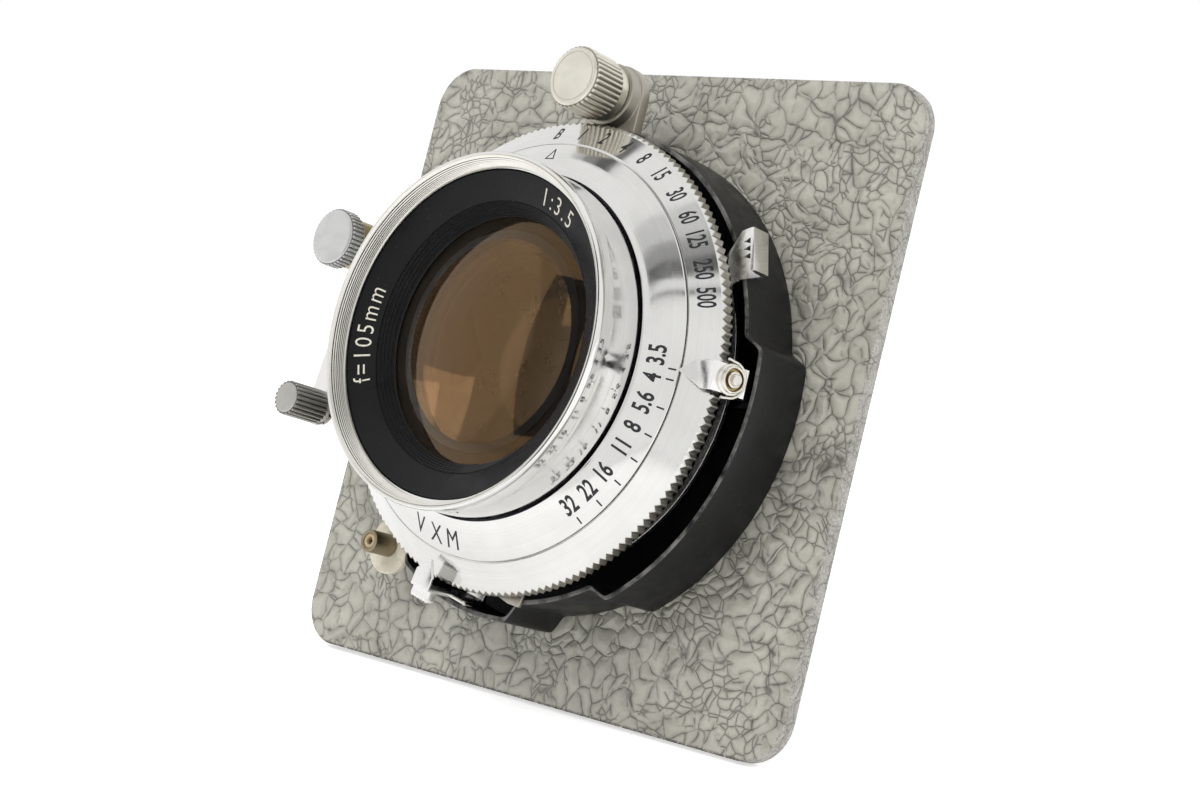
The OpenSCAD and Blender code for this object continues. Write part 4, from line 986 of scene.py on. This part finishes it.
wire_radius, hoop_radius, wire_half, wire_steps = 0.17, 2.05, 112, 36
hoop = bpy.data.curves.new("pointer_clip_finished", "CURVE")
hoop.dimensions, hoop.use_fill_caps = "3D", True
hoop.bevel_depth, hoop.bevel_resolution = wire_radius * MM, 3
strand = hoop.splines.new("POLY")
strand.points.add(wire_steps)
for number, point in enumerate(strand.points):
    bend = math.radians(-wire_half + 2 * wire_half * number / wire_steps)
    out = hoop_radius + 0.30 * max(0.0, abs(math.degrees(bend)) - 92) / 20
    point.co = (out * math.cos(bend) * MM, -wire_radius * MM, out * math.sin(bend) * MM, 1)
clip = as_mesh(new_object("pointer_clip_finished", hoop))
to_back = Vector((0, 1, 0)) - nut_axis * nut_axis.y
hoop_right = stand.to_3x3() @ Vector((1, 0, 0))
swing = Matrix.Rotation(hoop_right.angle(to_back), 4, hoop_right.cross(to_back))
clip.data.transform(Matrix.Translation(nut_seat) @ swing @ Matrix.Translation(-nut_seat) @ stand)
smooth(clip, 40)
place_piece(clip, "aperture_drive", "screw_steel", screw_steel, "pointer_clip")

release = softened("release_lever", 0.06)
fold_top, fold_low = Vector((26.10, 18.75)), Vector((27.50, 13.80))
along, pad_front = (fold_low - fold_top).normalized(), -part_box("release_lever")[0].y / MM
inward = Vector((along.y, -along.x))
for share in (0.30, 0.48, 0.66):
    middle = fold_top.lerp(fold_low, share) - inward * 0.05
    bite = (middle - along * 0.36, middle + along * 0.36, middle + inward * 0.95)
    prism = [Vector((corner.x, -forward, corner.y)) * MM
             for forward in (pad_front - 0.7, pad_front + 0.5) for corner in bite]
    cut_away(release, new_mesh("notch", prism, [(0, 1, 2), (5, 4, 3), (0, 3, 4, 1), (1, 4, 5, 2),
                                                (2, 5, 3, 0)]))
place_piece(release, "release", "white_nickel", white_nickel, "release_lever")


# ------------------------------------------------------------------ grip and knobs
# Milled round bars: the cocking lever's grip, the upper knob in pale cream metal with coarse ribs and
# a line round its face, and the side knob with a narrow milled edge over a brass collar.
def milled_knob(node, body, slot, material, centre, outline, count, low, high, root, depth, flat,
                ends=0.35):
    """Turned bar with teeth pushed out of its wall from low to high; ends is their height at each end."""
    piece = turned(node + "_finished", outline, steps=count * 8, centre=centre, shade=28)
    for vertex in piece.data.vertices:
        x, z = vertex.co.x / MM - centre[0], vertex.co.z / MM - centre[1]
        radius, forward = math.hypot(x, z), -vertex.co.y / MM
        if radius < root - 1e-3 or not low - 1e-3 <= forward <= high + 1e-3:
            continue
        phase = math.atan2(z, x) / (2 * math.pi) * count % 1.0
        tooth = min(1.0, (1.0 - abs(2 * phase - 1)) * (1 + flat))
        end = min(1.0, min(forward - low, high - forward) / 0.22 + ends)
        grown = (root + depth * tooth * end) / radius
        vertex.co.x, vertex.co.z = (x * grown + centre[0]) * MM, (z * grown + centre[1]) * MM
    place_piece(piece, body, slot, material, node)


def rows(radius, low, high, count=6):
    """Points up a wall, close enough together for ribs to be eased off at both ends."""
    middle = [low + 0.35 + (high - low - 0.7) * i / count for i in range(1, count)]
    return [(radius, forward) for forward in (low, low + 0.08, low + 0.2, low + 0.35, *middle,
                                              high - 0.35, high - 0.2, high - 0.08, high)]


def centre_of(node):
    """Right and up, in millimetres, of a round node's axis."""
    low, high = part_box(node)
    return (low.x + high.x) / 2 / MM, (low.z + high.z) / 2 / MM


def ends_of(node):
    """A round node's back, front and radius in millimetres."""
    low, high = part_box(node)
    return -high.y / MM, -low.y / MM, (high.x - low.x) / 2 / MM


def milled_metal(name, color, groove, roughness, centre, root, tip):
    """Metal of a milled bar: it is darker between its ribs, and its face is paler."""
    material, tree, shader = new_material(name, color, 1.0, roughness)
    marks = add_group(tree, handling_marks, Speck_size=2.4)
    lathe = add_group(tree, turned_grain, Rings_a_millimetre=6.0, Centre=(centre[0], 0.0, centre[1]))
    spot = place_in_mm(tree)
    out = vector("LENGTH", vector("MULTIPLY", vector("SUBTRACT", spot, (centre[0], 0.0, centre[1])),
                                  (1.0, 0.0, 1.0)))
    # The colour is darkened between the ribs.
    pit = times(step(out, root - 0.06, root - 0.02), inverse(step(out, root + 0.02, tip - 0.04)))
    tone = blend(times(marks["Smudge"], 0.35), color, dimmed(color, 0.82))
    tone = blend(times(marks["Speck"], 0.4), tone, dimmed(color, 0.5))
    link(blend(times(pit, 0.85), tone, groove), shader, "Base Color")
    link(scaled(marks["Smudge"], 0.14, roughness - 0.04), shader, "Roughness")
    bump(shader, scaled(marks["Height"], 0.5, lathe["Height"]), 0.014, 0.5)
    return material


top_centre = centre_of("top_knob")
knob_back, knob_front, knob_radius = ends_of("top_knob")
knob_root = knob_radius - 0.24
outline = [(1.25, knob_front - 1.6), (1.25, knob_back),
           *corners(knob_radius, knob_back, (-0.55, 0), (-0.4, 0.15), (-0.4, 1.35)),
           (knob_root - 0.05, knob_back + 1.5)]
outline += rows(knob_root, knob_back + 1.52, knob_front - 0.25)
outline += [*corners(knob_root, knob_front, (-0.06, -0.15), (-0.22, -0.03), (-0.42, 0), (-0.55, 0),
                     (-0.6, -0.09), (-0.68, -0.09), (-0.73, 0)), (0.3, knob_front - 0.02),
            (0.0, knob_front - 0.03), (0.0, knob_front - 1.6)]
cream_metal = milled_metal("cream_metal", (0.80, 0.77, 0.68), (0.20, 0.17, 0.12), 0.34, top_centre,
                           knob_root, knob_radius)
milled_knob("top_knob", "top_screw", "cream_metal", cream_metal, top_centre, outline, 36, knob_back + 1.52,
            knob_front - 0.25, knob_root, knob_radius - knob_root, 0.5)

side_centre = centre_of("side_knob")
knob_back, knob_front, knob_radius = ends_of("side_knob")
knob_root = knob_radius - 0.2
outline = [(1.25, knob_front - 0.9), (1.25, knob_back), (knob_root - 0.2, knob_back),
           (knob_root - 0.02, knob_back + 0.04)]
outline += rows(knob_root, knob_back + 0.06, knob_front - 0.2, 3)
outline += [*corners(knob_root, knob_front, (-0.08, -0.1), (-0.25, -0.01), (-0.5, 0)),
            (0.5, knob_front - 0.01), (0.0, knob_front - 0.02), (0.0, knob_front - 0.9)]
grey_metal = milled_metal("grey_metal", (0.66, 0.66, 0.65), (0.10, 0.10, 0.095), 0.36, side_centre,
                          knob_root, knob_radius)
milled_knob("side_knob", "side_screw", "grey_metal", grey_metal, side_centre, outline, 40, knob_back + 0.06,
            knob_front - 0.2, knob_root, knob_radius - knob_root, 0.4)

grip_centre = centre_of("cocking_grip")
knob_back, knob_front, knob_radius = ends_of("cocking_grip")
knob_root = knob_radius - 0.26
outline = [(0.0, knob_back), (knob_radius - 0.55, knob_back), (knob_radius - 0.35, knob_back + 0.38),
           (knob_root - 0.02, knob_back + 0.42)]
outline += rows(knob_root, knob_back + 0.44, knob_front - 0.18)
outline += [*corners(knob_root, knob_front, (-0.05, -0.12), (-0.18, -0.02), (-0.35, 0)),
            (0.0, knob_front)]
dark_grip = milled_metal("grip_metal", (0.50, 0.49, 0.46), (0.07, 0.066, 0.06), 0.38, grip_centre, knob_root,
                         knob_radius)
milled_knob("cocking_grip", "cocking_arm", "grey_metal", dark_grip, grip_centre, outline, 22,
            knob_back + 0.44, knob_front - 0.18, knob_root, knob_radius - knob_root, 0.5, 1.0)

collar_back, collar_front, collar_radius = ends_of("side_collar")
outline = [(1.2, collar_back), *corners(collar_radius, collar_back, (-0.15, 0), (0, 0.15), (0, 1.1),
                                        (-0.2, 1.25), (-0.2, 1.5), (0, 1.65)),
           *corners(collar_radius, collar_front, (0, -0.3), (-0.25, 0)), (1.2, collar_front)]
side_collar = turned("side_collar_finished", outline, steps=96, centre=side_centre)
olive_brass = metal("olive_brass", (0.42, 0.34, 0.18), 0.36, 0.6, 6.0, centre=side_centre,
                    dirt=(0.10, 0.08, 0.04), dirt_share=0.7)
place_piece(side_collar, "board_and_case", "olive_brass", olive_brass, "side_collar")


# ------------------------------------------------------------------ flash socket
# A coaxial terminal beside the case: a brass tube riveted through an ivory fibre washer, with a beige
# insulator and a hollow contact inside.
socket_centre = centre_of("socket_tube")
tube_back, tube_front, tube_radius = ends_of("socket_tube")
flange_back, flange_front, flange_radius = ends_of("socket_flange")
tube_inner = tube_radius - 0.5
outline = [(tube_inner, tube_back), (tube_radius - 0.25, tube_back),
           *corners(tube_radius, flange_front, (-0.25, 0), (-0.06, 0), (0, 0.06)),
           (tube_radius, tube_front - 0.12), (tube_radius - 0.12, tube_front),
           (tube_inner + 0.1, tube_front), (tube_inner, tube_front - 0.1)]
tube = turned("socket_tube_finished", outline, steps=64, centre=socket_centre)
socket_brass = metal("socket_brass", (0.33, 0.28, 0.19), 0.38, 0.5, 6.0, centre=socket_centre,
                     dirt=(0.08, 0.06, 0.04), dirt_share=0.7)
place_piece(tube, "board_and_case", "olive_brass", socket_brass, "socket_tube")
outline = [(tube_radius - 0.25, flange_back), (flange_radius - 0.1, flange_back),
           (flange_radius, flange_back + 0.1), (flange_radius, flange_front - 0.15),
           (flange_radius - 0.15, flange_front), (tube_radius - 0.25, flange_front)]
flange = turned("socket_flange_finished", outline, steps=96, centre=socket_centre)


def plain_insulator(name, color, roughness):
    """Fibre or plastic: slightly mottled and dusty, with a soft shine."""
    material, tree, shader = new_material(name, color, 0.0, roughness)
    marks = add_group(tree, handling_marks, Speck_size=2.8)
    mottle = noise(place_in_mm(tree), 1.3, 4.0, 0.65)
    tone = blend(step(mottle, 0.35, 0.7), color, dimmed(color, 0.84))
    link(blend(times(marks["Speck"], 0.5), tone, dimmed(color, 0.4)), shader, "Base Color")
    bump(shader, scaled(marks["Height"], 0.5, mottle), 0.02, 0.5)
    return material


ivory_fibre = plain_insulator("ivory_fibre", (0.72, 0.67, 0.54), 0.45)
place_piece(flange, "board_and_case", "ivory_fibre", ivory_fibre, "socket_flange")
core_back, core_front, core_radius = ends_of("socket_insulator")
outline = [(0.475, core_back), (core_radius, core_back), (core_radius, core_front - 0.05),
           (core_radius - 0.08, core_front), (0.56, core_front), (0.475, core_front - 0.1)]
insulator = turned("socket_insulator_finished", outline, steps=48, centre=socket_centre)
beige_insulator = plain_insulator("beige_insulator", (0.52, 0.40, 0.24), 0.5)
place_piece(insulator, "board_and_case", "beige_insulator", beige_insulator, "socket_insulator")


# ------------------------------------------------------------------ blades and inner rings
# The inner pieces keep the shapes of their solids and get their real finishes: dark spring steel for
# the blades, black for the spacers, and plain steel for the screws and the contact.
blade_steel = metal("blade_steel", (0.085, 0.085, 0.09), 0.30, 0.3, 4.0, dirt=(0.03, 0.03, 0.03))
finishes = {"blade_steel": blade_steel, "dark_metal": dark_metal, "black_anodised": black_anodised,
            "screw_steel": screw_steel, "olive_brass": socket_brass, "aged_nickel": aged_nickel}
slots = {part["node"]: part["material_slot"] for part in frame["record"]["subparts"]}
for node, solid in frame["nodes"].items():
    if slots[node] in finishes and node not in ("rear_retainer", "front_retainer"):
        solid.data.materials.clear()
        solid.data.materials.append(finishes[slots[node]])
